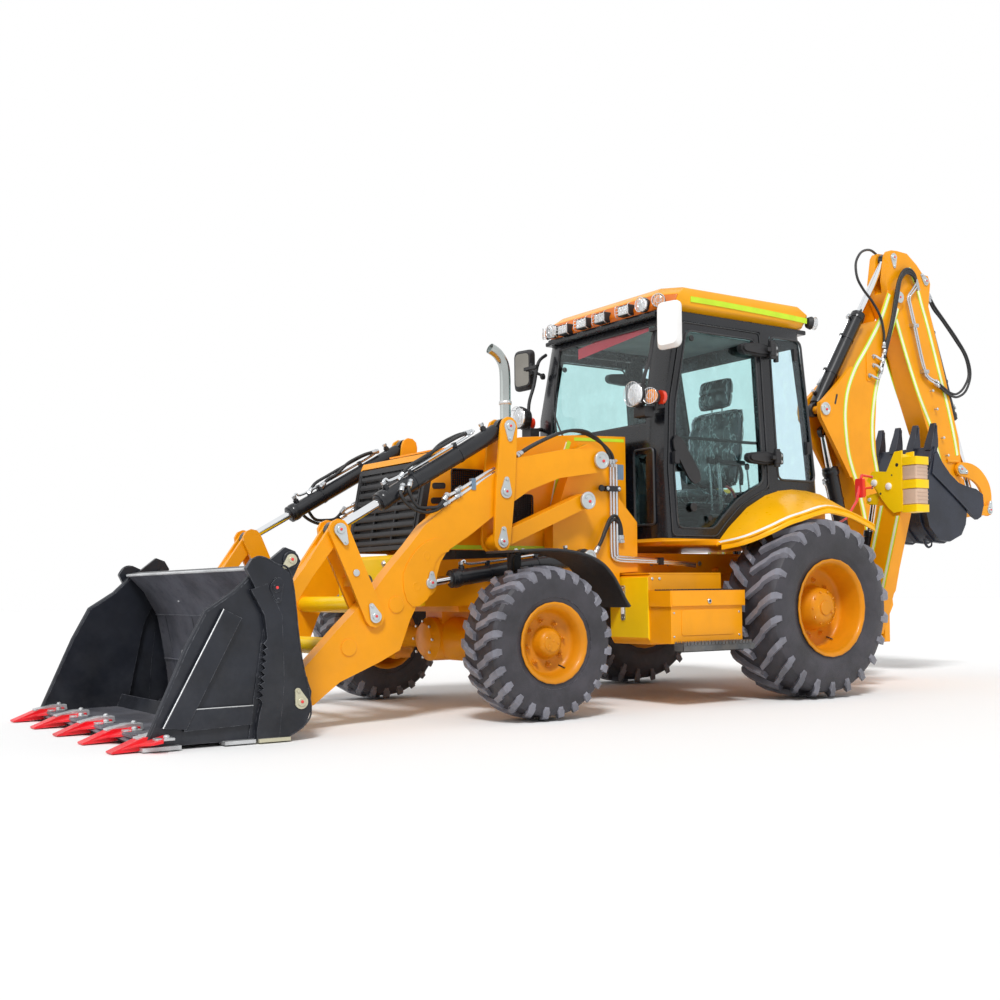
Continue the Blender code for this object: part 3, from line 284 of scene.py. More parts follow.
# the tyre's edge wear is a bluish grey that is partly real wear and partly a painted highlight of the sky on
# the rubber
tyreRubber = finishOf("tyreRubber", (0.026, 0.025, 0.031), 0.46, tone=0.3, grain=0.1, wear=0.6,
                      worn=(0.22, 0.21, 0.26), dust=0.4, earth=(0.105, 0.095, 0.115),
                      dustHeight=1.6, patch=0.2)
hoseRubber = finishOf("hoseRubber", (0.012, 0.012, 0.013), 0.42, tone=0.2, grain=0.1, scale=3.0)
sealRubber = finishOf("sealRubber", (0.03, 0.031, 0.034), 0.45, tone=0.15, grain=0.05)
matRubber = finishOf("matRubber", (0.03, 0.03, 0.032), 0.75, tone=0.2, grain=0.15, dust=0.1)
padRubber = finishOf("padRubber", (0.62, 0.44, 0.33), 0.6, tone=0.12, grain=0.1, patch=0.15)
blueFitting = finishOf("blueFitting", (0.15, 0.22, 0.3), 0.35, metal=0.5, tone=0.2, grain=0.05)
headliner = finishOf("headliner", (0.34, 0.38, 0.39), 0.85, tone=0.15, grain=0.15)
amberLens = finishOf("amberLens", (0.95, 0.3, 0.01), 0.15, coat=0.8, tone=0.08, grain=0.02, scale=2.0)
redLens = finishOf("redLens", (0.8, 0.04, 0.01), 0.15, coat=0.8, tone=0.08, grain=0.02, scale=2.0)
lampSilver = finishOf("lampSilver", (0.8, 0.81, 0.82), 0.16, metal=0.7, tone=0.1, grain=0.02, scale=2.0)
mirrorFace = finishOf("mirrorFace", (0.78, 0.84, 0.86), 0.05, metal=0.9, tone=0.03, grain=0.002,
                      roughSpread=0.02)
mirrorBack = finishOf("mirrorBack", (0.2, 0.19, 0.17), 0.08, metal=0.9, tone=0.1, grain=0.002)
bannerRed = finishOf("bannerRed", (0.95, 0.03, 0.07), 0.6, tone=0.12, grain=0.05)


def glassOf(name, colour, rough, bending):
    mat = bpy.data.materials.new(name)
    mat.use_nodes = True
    tree = mat.node_tree
    shader = tree.nodes["Principled BSDF"]
    shader.inputs["Transmission Weight"].default_value = 1.0
    shader.inputs["Metallic"].default_value = 0.0
    shader.inputs["IOR"].default_value = bending
    grainNode = placeGroup(tree, grainGroup, {"Scale": 0.6})
    smear = rampNode(tree, grainNode.outputs["Patch"], 0.45, 0.8)
    faded = tuple(min(1.0, c * 1.08) for c in colour)
    tree.links.new(mixColours(tree, smear, colour, faded), shader.inputs["Base Color"])
    tree.links.new(mathNode(tree, "ADD", mathNode(tree, "MULTIPLY", smear, 0.03), rough),
                   shader.inputs["Roughness"])
    return mat


screenGlass = glassOf("screenGlass", (0.78, 0.95, 0.95), 0.01, 1.3)
doorGlass = glassOf("doorGlass", (0.6, 0.8, 0.8), 0.01, 1.35)
paleGlass = glassOf("paleGlass", (0.8, 0.9, 0.98), 0.01, 1.35)
lampGlass = glassOf("lampGlass", (0.95, 0.97, 0.98), 0.03, 1.4)
print("finishes ready")


def around(count, start=0.0):
    # evenly spaced turns of a full circle
    return [2 * math.pi * (k + start) / count for k in range(count)]


# mesh helpers: each adds to a bmesh in metres, y from the rear axle
def skin(bm, rings, mat=0, caps=True, wrap=True):
    rows = [[bm.verts.new(point) for point in ring] for ring in rings]
    count = len(rings[0])
    last = count if wrap else count - 1
    for a, b in zip(rows, rows[1:]):
        for i in range(last):
            j = (i + 1) % count
            face = bm.faces.new((a[i], a[j], b[j], b[i]))
            face.material_index = mat
    if caps:
        for row in (rows[0], rows[-1]):
            face = bm.faces.new(row)
            face.material_index = mat
    return rows


def spot(axis, along, a, b):
    return {"X": (along, a, b), "Y": (a, along, b), "Z": (a, b, along)}[axis]


def plate(bm, outline, lo, hi, mat=0, axis="X"):
    skin(bm, [[spot(axis, s, a, b) for a, b in outline] for s in (lo, hi)], mat)


def box(bm, lo, hi, mat=0):
    plate(bm, [(lo[1], lo[2]), (hi[1], lo[2]), (hi[1], hi[2]), (lo[1], hi[2])], lo[0], hi[0], mat)


def roundedBox(bm, lo, hi, radius, mat=0, axis="X", steps=3):
    a, b = {"X": (1, 2), "Y": (0, 2), "Z": (0, 1)}[axis]
    k = "XYZ".index(axis)
    outline = []
    corners = ((hi[a], hi[b], 0), (lo[a], hi[b], 90), (lo[a], lo[b], 180), (hi[a], lo[b], 270))
    for ca, cb, start in corners:
        ma = ca - math.copysign(radius, ca - (lo[a] + hi[a]) / 2)
        mb = cb - math.copysign(radius, cb - (lo[b] + hi[b]) / 2)
        for step in range(steps + 1):
            turn = math.radians(start + 90 * step / steps)
            outline.append((ma + radius * math.cos(turn), mb + radius * math.sin(turn)))
    plate(bm, outline, lo[k], hi[k], mat, axis)


def lathe(bm, profile, centre, axis="X", mat=0, segments=20, matrix=None):
    rings = []
    for along, radius in profile:
        ring = []
        for turn in around(segments):
            point = Vector(spot(axis, along, radius * math.cos(turn), radius * math.sin(turn)))
            point = matrix @ point if matrix else point
            ring.append(point + Vector(centre))
        rings.append(ring)
    skin(bm, rings, mat)


def lineTurn(direction):
    return Vector((1, 0, 0)).rotation_difference(Vector(direction).normalized()).to_matrix()


def button(bm, centre, direction, radius, height, mat=0, segments=16, dome=0.0):
    edge = min(height, radius) * 0.3
    profile = [(0.0, radius), (height - edge, radius), (height, radius - edge)]
    if dome:
        profile += [(height + dome * 0.7, radius * 0.55), (height + dome, radius * 0.12)]
    lathe(bm, profile, centre, "X", mat, segments, lineTurn(direction))


def hexBolt(bm, centre, direction, size=0.012, mat=0, washer=True):
    matrix = lineTurn(direction)
    start = 0.0
    if washer:
        lathe(bm, [(0.0, size * 1.5), (size * 0.25, size * 1.5)], centre, "X", mat, 14, matrix)
        start = size * 0.25
    lathe(bm, [(start - 0.0005, size), (size * 0.85, size), (size * 1.0, size * 0.85)], centre, "X",
          mat, 6, matrix)


def curvePoints(points, per=6, closed=False):
    points = [Vector(p) for p in points]
    count = len(points)
    result = []
    spans = count if closed else count - 1
    for i in range(spans):
        if closed:
            p0, p1, p2, p3 = (points[(i + k) % count] for k in (-1, 0, 1, 2))
        else:
            p0, p1, p2, p3 = (points[max(0, min(count - 1, i + k))] for k in (-1, 0, 1, 2))
        for step in range(per):
            t = step / per
            result.append(0.5 * ((2 * p1) + (p2 - p0) * t + (2 * p0 - 5 * p1 + 4 * p2 - p3) * t * t
                                 + (3 * p1 - p0 - 3 * p2 + p3) * t ** 3))
    if not closed:
        result.append(points[-1])
    return result


def tube(bm, points, radius, mat=0, segments=8, per=6, closed=False, bulge=None):
    path = curvePoints(points, per, closed) if per else [Vector(p) for p in points]
    count = len(path)
    rings = []
    side = None
    for i, p in enumerate(path):
        ahead = path[(i + 1) % count] if closed else path[min(count - 1, i + 1)]
        behind = path[i - 1] if closed else path[max(0, i - 1)]
        forward = (ahead - behind).normalized()
        if side is None:
            side = forward.orthogonal().normalized()
        side = (side - forward * side.dot(forward)).normalized()
        other = forward.cross(side)
        r = radius * (bulge(i / (count - 1)) if bulge else 1.0)
        rings.append([p + r * (math.cos(turn) * side + math.sin(turn) * other) for turn in around(segments)])
    if closed:
        rows = [[bm.verts.new(point) for point in ring] for ring in rings]
        shift = min(range(segments), key=lambda s: (rings[0][s] - rings[-1][0]).length)
        for i in range(count):
            a, b = rows[i], rows[(i + 1) % count]
            move = shift if i == count - 1 else 0
            for k in range(segments):
                quad = (a[k], a[(k + 1) % segments], b[(k + 1 + move) % segments], b[(k + move) % segments])
                bm.faces.new(quad).material_index = mat
    else:
        skin(bm, rings, mat)
    return path


def pipeEnd(bm, at, direction, radius, mat, length=0.05):
    # crimped sleeve and hex nut where a hose meets its fitting
    profile = [(0.0, radius * 1.35), (length * 0.15, radius * 1.5), (length * 0.55, radius * 1.5),
               (length * 0.6, radius * 1.15), (length * 0.68, radius * 1.15)]
    lathe(bm, profile, at, "X", mat, 12, lineTurn(direction))
    nut = Vector(at) + Vector(direction).normalized() * length * 0.66
    lathe(bm, [(0.0, radius * 1.6), (length * 0.34, radius * 1.6)], nut, "X", mat, 6, lineTurn(direction))


def shifted(outline, by):
    # the outline moved outwards by a distance, inwards where it is negative
    moved = []
    count = len(outline)
    for i in range(count):
        p, q, r = (Vector(outline[(i + k) % count]) for k in (-1, 0, 1))
        d1, d2 = (q - p).normalized(), (r - q).normalized()
        n1, n2 = Vector((d1.y, -d1.x)), Vector((d2.y, -d2.x))
        moved.append(tuple(q + (n1 + n2) / (1 + n1.dot(n2)) * by))
    return moved


def strip(bm, line, width, x, thick=0.0016, mat=0, side=1):
    # a flat band along a side-view line, standing just proud of the plate at x
    left, right = [], []
    for i, p in enumerate(line):
        a, b = Vector(line[max(0, i - 1)]), Vector(line[min(len(line) - 1, i + 1)])
        normal = Vector((-(b - a).y, (b - a).x)).normalized() * width / 2
        left.append(Vector(p) + normal)
        right.append(Vector(p) - normal)
    near, far = side * (x - 0.002), side * (x + thick)
    rings = [[(near, *l), (far, *l), (far, *r), (near, *r)] for l, r in zip(left, right)]
    skin(bm, rings, mat)


def addBevel(piece, width, angle, harden):
    soften = piece.modifiers.new("soften", "BEVEL")
    soften.width = width
    soften.segments = 2
    soften.limit_method = "ANGLE"
    soften.angle_limit = math.radians(angle)
    soften.harden_normals = harden


def makePiece(bm, name, materials, angle=32):
    # an object from a bmesh, moved into the frame, its edges sharp where they turn by more than the angle
    bmesh.ops.translate(bm, verts=bm.verts, vec=(0.0, rearAxleY, 0.0))
    bmesh.ops.recalc_face_normals(bm, faces=bm.faces)
    mesh = bpy.data.meshes.new(name)
    bm.to_mesh(mesh)
    bm.free()
    for mat in (materials if isinstance(materials, (list, tuple)) else (materials,)):
        mesh.materials.append(mat)
    mesh.shade_smooth()
    mesh.set_sharp_from_angle(angle=math.radians(angle))
    piece = bpy.data.objects.new(name, mesh)
    bpy.context.scene.collection.objects.link(piece)
    return piece


def emit(bm, name, body, materials, bevel=0.0, angle=32, replaces=()):
    # the same, riding on a body and standing for the nodes that it replaces
    piece = makePiece(bm, name, materials, angle)
    if bevel:
        addBevel(piece, bevel, 35, True)
    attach(piece, body)
    if replaces:
        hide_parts(*replaces)
    return piece


def dress(node, materials, chooser=None, bevel=0.0025):
    # gives a frame node its finishes; chooser picks one by face centre and normal
    piece = nodes[node]
    mesh = piece.data
    mesh.materials.clear()
    for mat in materials:
        mesh.materials.append(mat)
    for face in mesh.polygons:
        centre = face.center
        face.material_index = chooser(centre.x, centre.y - rearAxleY, centre.z, face.normal) if chooser else 0
    piece.modifiers.new("weld", "WELD").merge_threshold = 0.00004
    if bevel:
        addBevel(piece, bevel, 38, False)
    piece.modifiers.new("smooth", "WEIGHTED_NORMAL").keep_sharp = False
    mesh.shade_smooth()


def bothSides():
    return (("left", 1), ("right", -1))


def sided(side, lo, hi):
    return (side * lo, side * hi) if side > 0 else (side * hi, side * lo)


def sideBox(bm, side, xs, ys, zs, radius=0.0, mat=0, axis="X"):
    # a block on one side of the machine, its x given for the left side
    near, far = sided(side, *xs)
    lo, hi = (near, ys[0], zs[0]), (far, ys[1], zs[1])
    if radius:
        roundedBox(bm, lo, hi, radius, mat, axis)
    else:
        box(bm, lo, hi, mat)


def onSide(x, line):
    # a side-view line of y and z set at one x
    return [(x, y, z) for y, z in line]


def mirrored(side):
    return Matrix.Scale(side, 3, Vector((1, 0, 0)))


def route(rows, shift, side=1):
    # rows of x, y, z and how far a shift of one moves each of them
    return [(side * (x + dx * shift), y + dy * shift, z + dz * shift) for x, y, z, dx, dy, dz in rows]

# pin centres in side view, as y and z
pins = {
    "towerTop": (-1.565, 1.58), "towerMid": (-1.68, 1.318), "liftBase": (-1.67, 0.96),
        "liftEye": (-2.835, 0.801),
    "tiltBase": (-2.283, 1.748), "linkTop": (-2.315, 1.35), "leverFoot": (-2.341, 1.048),
        "crowdTop": (-3.437, 1.098),
    "crowdFoot": (-3.218, 0.614), "bucketPivot": (-3.68, 0.19), "bucketEar": (-3.785, 0.635),
    "jawPivot": (-3.876, 0.921), "boomFoot": (1.85, 0.62), "boomBase": (1.62, 0.78), "boomEye": (1.3, 2.02),
    "dipperBase": (1.19, 2.187), "dipperPivot": (2.13, 3.2), "dipperEye": (2.1, 3.54),
        "bucketBase": (2.525, 3.394),
    "rockerPivot": (2.93, 1.78), "bucketEye": (3.31, 1.43), "linkFoot": (2.86, 1.385),
        "diggerPivot": (2.83, 1.54)}
hubs = {"front": (-2.308, 0.449), "rear": (0.0, 0.613)}


# finishes on the frame's own nodes
def chassisFinish(x, y, z, normal):
    side = abs(x)
    if side < 0.33 and -2.43 < y < -1.31 and z > 0.845:
        return 2  # engine block
    # the front plate takes the painted sunlit copy of the amber
    if y < -2.73:
        return 1  # front plate
    if side > 0.985 and z < 0.413:
        return 3  # step
    if side > 0.541 and -1.8 < y < -1.45 and z > 0.87:
        return 4  # tower pins
    # the tank's front face takes the painted sunlit copy of the amber
    if 0.42 < side < 0.8 and -1.31 < y < -1.29 and 0.39 < z < 0.86:
        return 1  # tank's front face
    if 0.79 < side < 0.99 and -1.29 < y < -0.65 and z > 0.42 and normal.z > 0.5:
        return 3  # top of the tool box
    return 0


def platformFinish(x, y, z, normal):
    if abs(x) < 0.24 and y < -0.45 and z > 1.095:
        return 1
    if abs(x) < 0.69 and normal.z > 0.9 and z < 1.1:
        return 2
    # fender faces that do not face down take the painted sunlit fender amber; the undersides stay plain amber
    return 3 if abs(x) > 0.712 and normal.z > -0.2 else 0


def bladeFinish(x, y, z, normal):
    return 1 if abs(x) < 0.95 and normal.y < -0.15 and z < 0.86 and y > -4.1 else 0


def jawFinish(x, y, z, normal):
    if y < -4.5 and z < 0.08 and min(abs(x - 0.473 * k) for k in range(-2, 3)) < 0.05:
        return 2
    return 1 if abs(x) < 0.955 and normal.z > 0.4 and z < 0.13 else 0


def dressRod(node, eye):
    # chromed except round its eye
    dress(node, [rodChrome, blackPaint], lambda x, y, z, n: 1 if math.dist((y, z), pins[eye]) < 0.056 else 0)


dress("chassis_frame", [amberPaint, paintedSunlitAmber, castGrey, trimBlack, zincSteel], chassisFinish)
dress("front_axle", [amberPaint, trimBlack], lambda x, y, z, n: 1 if abs(x) > 0.73 and z > 0.6 else 0)
dress("platform_fenders", [amberPaint, trimBlack, matRubber, sunlitFenderAmber], platformFinish, 0.0)
dress("cab_roof", [roofPaint, headliner, fasciaPaint],
      lambda x, y, z, n: 1 if n.z < -0.9 else (2 if n.y < -0.5 and z < 2.735 else 0), 0.012)
dress("hood", [amberPaint, trimBlack], lambda x, y, z,
      n: 1 if y < -2.655 and z < 1.56 and abs(x) < 0.43 else 0)
# the cross tube between the arms takes the painted sunlit copy of the amber, a painted highlight
dress("loader_arms", [amberPaint, paintedSunlitAmber], lambda x, y, z, n: 1 if abs(x) < 0.548 else 0, 0.004)
dress("bucket_back", [bucketSteel, bladeSteel], bladeFinish, 0.002)
dress("clam_jaw", [bucketSteel, bladeSteel, toothRed], jawFinish, 0.0025)
dress("tool_box_lid", [amberPaint, trimBlack], lambda x, y, z, n: 1 if n.z > 0.7 else 0)
for node, finish, bevel in (("cab_shell", cabBlack, 0.004), ("swing_post", amberPaint, 0.0025),
                            ("boom", amberPaint, 0.004), ("dipper", amberPaint, 0.004),
                            ("bucket_link", amberPaint, 0.0025), ("digger_bucket", diggerSteel, 0.003),
                            ("boom_barrel", blackPaint, 0.0025), ("dipper_barrel", blackPaint, 0.0025),
                            ("bucket_barrel", blackPaint, 0.0025)):
    dress(node, [finish], bevel=bevel)
for name in ("boom", "dipper", "bucket"):
    dressRod(f"{name}_rod", f"{name}Eye")
for label, side in bothSides():
    for name, finish, bevel in (("steering_knuckle", amberPaint, 0.0025), ("door", cabBlack, 0.004),
                                ("level_link", amberPaint, 0.006), ("crowd_lever", amberPaint, 0.003),
                                ("tilt_link", amberPaint, 0.003), ("lift_barrel", blackPaint, 0.0025),
                                ("tilt_barrel", blackPaint, 0.0025), ("lever_pin", zincSteel, 0.001),
                                ("crowd_pin", zincSteel, 0.001), ("bucket_pin", zincSteel, 0.001),
                                ("rim_front", rimPaint, 0.0), ("rim_rear", rimPaint, 0.0)):
        dress(f"{name}_{label}", [finish], bevel=bevel)
    dressRod(f"lift_rod_{label}", "liftEye")
    dressRod(f"tilt_rod_{label}", "crowdTop")
    dress(f"rear_lever_{label}", [amberPaint, zincSteel],
          lambda x, y, z, n: 1 if 0.545 < abs(x) < 0.655 else 0, 0.003)
    # the leg's upper and lower ends take the painted sunlit copy of the amber; its outer pads are rubber
    dress(f"stabiliser_leg_{label}", [amberPaint, paintedSunlitAmber, padRubber],
          lambda x, y, z, n: 2 if abs(x) > 1.062 else (1 if z > 1.25 or z < 0.42 else 0), 0.004)
print("frame nodes dressed")

# camera, floor and light
cameraSettings = {"place": (6.869, -6.587, 0.744), "turn": 55.431, "tilt": 1.178, "roll": -0.624,
                  "lens": 44.86, "shift": (-0.0058, 0.0664)}
turn, tilt, roll = (math.radians(cameraSettings[k]) for k in ("turn", "tilt", "roll"))
forward = Vector((-math.sin(turn) * math.cos(tilt), math.cos(turn) * math.cos(tilt), math.sin(tilt)))
across = forward.cross(Vector((0, 0, 1))).normalized()
above = across.cross(forward)
across, above = (math.cos(roll) * across + math.sin(roll) * above,
                 math.cos(roll) * above - math.sin(roll) * across)
lens = bpy.data.cameras.new("camera")
lens.lens = cameraSettings["lens"]
lens.shift_x, lens.shift_y = cameraSettings["shift"]
lens.clip_end = 200
camera = bpy.data.objects.new("camera", lens)
camera.matrix_world = (Matrix.Translation(Vector(cameraSettings["place"]) + Vector((0, rearAxleY, 0)))
                       @ Matrix((across, above, -forward)).transposed().to_4x4())
bpy.context.scene.collection.objects.link(camera)
bpy.context.scene.camera = camera

floorSettings = {"half": 60.0, "height": -0.002, "look": {"Base Color": (0.93, 0.93, 0.93, 1),
                                                          "Roughness": 0.9,
                                                          "Specular IOR Level": 0.1}}
bm = bmesh.new()
half = floorSettings["half"]
bm.faces.new([bm.verts.new((sx * half, sy * half, floorSettings["height"]))
              for sx, sy in ((-1, -1), (1, -1), (1, 1), (-1, 1))])
floorMesh = bpy.data.meshes.new("floor")
bm.to_mesh(floorMesh)
bm.free()
floorPaint = bpy.data.materials.new("floorPaint")
floorPaint.use_nodes = True
for label, value in floorSettings["look"].items():
    floorPaint.node_tree.nodes["Principled BSDF"].inputs[label].default_value = value
floorMesh.materials.append(floorPaint)
floor = bpy.data.objects.new("floor", floorMesh)
bpy.context.scene.collection.objects.link(floor)

lightSettings = {"sky": 0.55, "keySun": (2.15, 12, (42, 0, 52)), "fillSun": (0.35, 60, (60, 0, -20))}
world = bpy.data.worlds.new("world")
world.use_nodes = True
bpy.context.scene.world = world
tree = world.node_tree
tree.nodes.clear()
rays = tree.nodes.new("ShaderNodeLightPath")
seen = mathNode(tree, "MAXIMUM", rays.outputs["Is Camera Ray"],
                mathNode(tree, "MAXIMUM", rays.outputs["Is Glossy Ray"], rays.outputs["Is Transmission Ray"]))
strength = mathNode(tree, "ADD", mathNode(tree, "MULTIPLY", seen, 1.0 - lightSettings["sky"]),
                    lightSettings["sky"])
background = tree.nodes.new("ShaderNodeBackground")
background.inputs["Color"].default_value = (1, 1, 1, 1)
tree.links.new(strength, background.inputs["Strength"])
skyOut = tree.nodes.new("ShaderNodeOutputWorld")
tree.links.new(background.outputs[0], skyOut.inputs["Surface"])

for name in ("keySun", "fillSun"):
    power, spread, turns = lightSettings[name]
    data = bpy.data.lights.new(name, "SUN")
    data.energy = power
    data.angle = math.radians(spread)
    lamp = bpy.data.objects.new(name, data)
    lamp.rotation_euler = [math.radians(t) for t in turns]
    bpy.context.scene.collection.objects.link(lamp)
bpy.context.scene.view_settings.view_transform = "Standard"
print("camera, floor and light set")

# tyres, with moulded lugs on a lower carcass, the lugs in a painted highlight grey
tyreSettings = {
    "front": {"span": (0.803, 1.152), "radius": 0.449, "bead": 0.214, "depth": 0.024,
              "lugs": 24, "lugWidth": (0.04, 0.05), "skew": 0.17, "kink": 0.06, "wall": 0.07},
    "rear": {"span": (0.714, 1.202), "radius": 0.613, "bead": 0.31, "depth": 0.036,
             "lugs": 22, "lugWidth": (0.042, 0.056), "skew": 0.3, "kink": 0.05, "wall": 0.1},
}


def carcassProfile(look):
    inner, outer = look["span"]
    mid, half = (inner + outer) / 2, (outer - inner) / 2
    radius, bead = look["radius"] - look["depth"], look["bead"]
    tall = radius - bead
    flank = [(0.8, bead), (0.86, bead + 0.01), (0.9, bead + 0.018), (0.905, bead + 0.03), (0.93, bead + 0.05),
             (0.955, bead + 0.24 * tall), (0.962, bead + 0.26 * tall), (0.965, bead + 0.3 * tall),
             (0.985, bead + 0.42 * tall), (0.99, bead + 0.55 * tall), (0.98, bead + 0.66 * tall),
             (0.955, bead + 0.78 * tall), (0.9, bead + 0.9 * tall), (0.8, bead + 0.965 * tall),
             (0.6, bead + 0.99 * tall), (0.3, radius)]
    return ([(mid - half * k, r) for k, r in flank] + [(mid, radius)]
            + [(mid + half * k, r) for k, r in reversed(flank)])


def lugRings(look, hub, turn, half, mid, facing):
    # cross-sections from the tread's middle to the shoulder, then down the wall
    radius, depth = look["radius"], look["depth"]
    stations = ((0.06, 0.0, 0.0), (0.3, 0.0, 0.001), (0.52, 0.0, 0.003), (0.58, 1.0, 0.004), (0.8, 1.0, 0.01),
                (0.93, 1.0, 0.02), (0.985, 1.0, 0.045), (1.0, 1.0, look["wall"]))
    rings = []
    for reach, kinked, drop in stations:
        x = mid + facing * half * (0.988 * reach if reach < 1 else 0.997)
        angle = turn + look["skew"] * (1 - reach) - look["kink"] * kinked * 0.5
        top = radius - 0.0015 - drop
        base = top - depth - 0.012
        width = look["lugWidth"][0] + (look["lugWidth"][1] - look["lugWidth"][0]) * reach
        if reach == 1.0:
            width *= 0.75
        wide, narrow = width / radius * 0.62, width / radius * 0.42
        rings.append([(x if r != base or reach < 0.97 else x - facing * 0.022,
                       hub[0] + r * math.cos(angle + a), hub[1] + r * math.sin(angle + a))
                      for a, r in ((-wide, base), (-narrow, top), (narrow, top), (wide, base))])
    return rings


for end, look in tyreSettings.items():
    for label, side in bothSides():
        bm = bmesh.new()
        profile = [(side * x, r) for x, r in carcassProfile(look)]
        y, z = hubs[end]
        rows = [[bm.verts.new((x, y + r * math.cos(turn), z + r * math.sin(turn))) for x, r in profile]
                for turn in around(72)]
        for a, b in zip(rows, rows[1:] + rows[:1]):
            for i in range(len(profile)):
                j = (i + 1) % len(profile)
                bm.faces.new((a[i], a[j], b[j], b[i]))
        inner, outer = look["span"]
        mid, half = side * (inner + outer) / 2, (outer - inner) / 2
        for facing in (1, -1):
            for turn in around(look["lugs"], 0.5 if facing * side > 0 else 0.0):
                skin(bm, lugRings(look, hubs[end], turn, half, mid, facing), 1)
        emit(bm, f"tread_{end}_{label}", f"wheel_{end}_{label}", [tyreRubber, treadHighlight], 0.0, 28,
             (f"tyre_{end}_{label}",))

# wheel bolts, hub caps and valves
hubSettings = {
    "front": {"face": 1.044, "nuts": (8, 0.128, 0.013), "cap": (1.117, 0.052, 0.006),
              "capBolts": (3, 0.04, 0.006, 1.122), "valve": 0.168,
              "plugs": ((0.005, -0.018, -0.02, 0.012, 0.005, 0, 12), (0.005, 0.01, 0.012, 0.007,
                                                                      0.004, 1, 10))},
    "rear": {"face": 0.999, "nuts": (10, 0.192, 0.014), "cap": (1.127, 0.05, 0.01),
             "capBolts": (10, 0.112, 0.007, 1.1155), "valve": 0.255,
             "plugs": ((0.008, 0.062, -0.03, 0.011, 0.009, 0, 12),)},
}
for end, look in hubSettings.items():
    for label, side in bothSides():
        bm = bmesh.new()
        out, (y, z) = (side, 0, 0), hubs[end]
        count, ring, size = look["nuts"]
        for turn in around(count, 0.25):
            nut = (side * look["face"], y + ring * math.cos(turn), z + ring * math.sin(turn))
            hexBolt(bm, nut, out, size, 1)
            button(bm, (nut[0] + side * size * 0.9, *nut[1:]), out, size * 0.55, 0.016, 1, 10)
        x, ring, tall = look["cap"]
        button(bm, (side * x, y, z), out, ring, tall, 0, 24)
        for dx, dy, dz, radius, tall, mat, segments in look["plugs"]:
            button(bm, (side * (x + dx), y + dy, z + dz), out, radius, tall, mat, segments)
        count, ring, size, boltFace = look["capBolts"]
        for turn in around(count):
            hexBolt(bm, (side * boltFace, y + ring * math.cos(turn), z + ring * math.sin(turn)), out,
                    size, 0, False)
        stem = Vector((side * look["face"], y + look["valve"] * 0.6, z - look["valve"] * 0.8))
        tube(bm, [stem, stem + Vector((side * 0.02, 0.004, -0.005)),
                  stem + Vector((side * 0.045, 0.012, -0.016))],
             0.004, 2, 8)
        emit(bm, f"hub_fittings_{end}_{label}", f"wheel_{end}_{label}", [rimPaint, rimPaint, hoseRubber])
print("wheels dressed")

# cab glass, seals and frame trim
cabSettings = {"sealRadius": 0.008, "glassThick": 0.005, "screenHalf": 0.538,
               "rearHalf": 0.604, "doorFace": 0.7,
               "hinges": ((-0.098, 2.418, -0.372), (-0.064, 1.662, -0.321)),
               "latches": ((0.205, 2.425), (0.33, 1.76), (0.015, 2.4))}
windscreen = [(1.866, -1.056), (2.03, -1.046), (2.3, -1.003), (2.545, -0.96)]  # height and y of its face
doorOutline = [(-0.992, 1.105), (-0.59, 1.105), (-0.5, 1.197), (-0.36, 1.32), (-0.24, 1.385),
               (-0.08, 1.458), (-0.085, 1.6), (-0.152, 2.545), (-0.888, 2.545), (-1.005, 2.0), (-1.025, 1.54)]
rearSide = [(0.02, 1.52), (0.4, 1.52), (0.265, 2.53), (-0.055, 2.53)]
rearLine = [(1.5, 0.44), (2.03, 0.375), (2.5, 0.288)]


def rounded(outline, radius, steps=3):
    # corners of a closed outline softened by short arcs
    result = []
    for i, q in enumerate(map(Vector, outline)):
        a, b = Vector(outline[i - 1]) - q, Vector(outline[(i + 1) % len(outline)]) - q
        reach = min(radius, a.length * 0.45, b.length * 0.45)
        start, end = q + a.normalized() * reach, q + b.normalized() * reach
        for step in range(steps + 1):
            t = step / steps
            result.append(tuple((1 - t) ** 2 * start + 2 * t * (1 - t) * q + t * t * end))
    return result


thick, radius = cabSettings["glassThick"], cabSettings["sealRadius"]
for name, line, half, back in (("windscreen", windscreen, cabSettings["screenHalf"], -thick),
                               ("rear_window", rearLine, cabSettings["rearHalf"], 0.0)):
    bm = bmesh.new()
    skin(bm, [[(-half, y + back, z), (half, y + back, z), (half, y + back + thick, z),
               (-half, y + back + thick, z)]
              for z, y in line])
    emit(bm, name, "machine", screenGlass)

bm = bmesh.new()
for line, half, out in ((windscreen, 0.533, -0.006), (rearLine, 0.598, 0.008)):
    edge = [(-half, y + out, z) for z, y in line] + [(half, y + out, z) for z, y in reversed(line)]
    tube(bm, edge, radius, 0, 6, 0, True)
for label, side in bothSides():
    tube(bm, onSide(side * 0.7, rounded(rearSide, 0.05)), radius, 0, 6, 0, True)
    low = rounded([(0.432, 1.182), (0.63, 1.182), (0.63, 1.69), (0.432, 1.69)], 0.03)
    tube(bm, [(side * x, -1.083 - (z - 1.18) * 0.012, z) for x, z in low], radius, 0, 6, 0, True)
emit(bm, "window_seals", "machine", sealRubber)

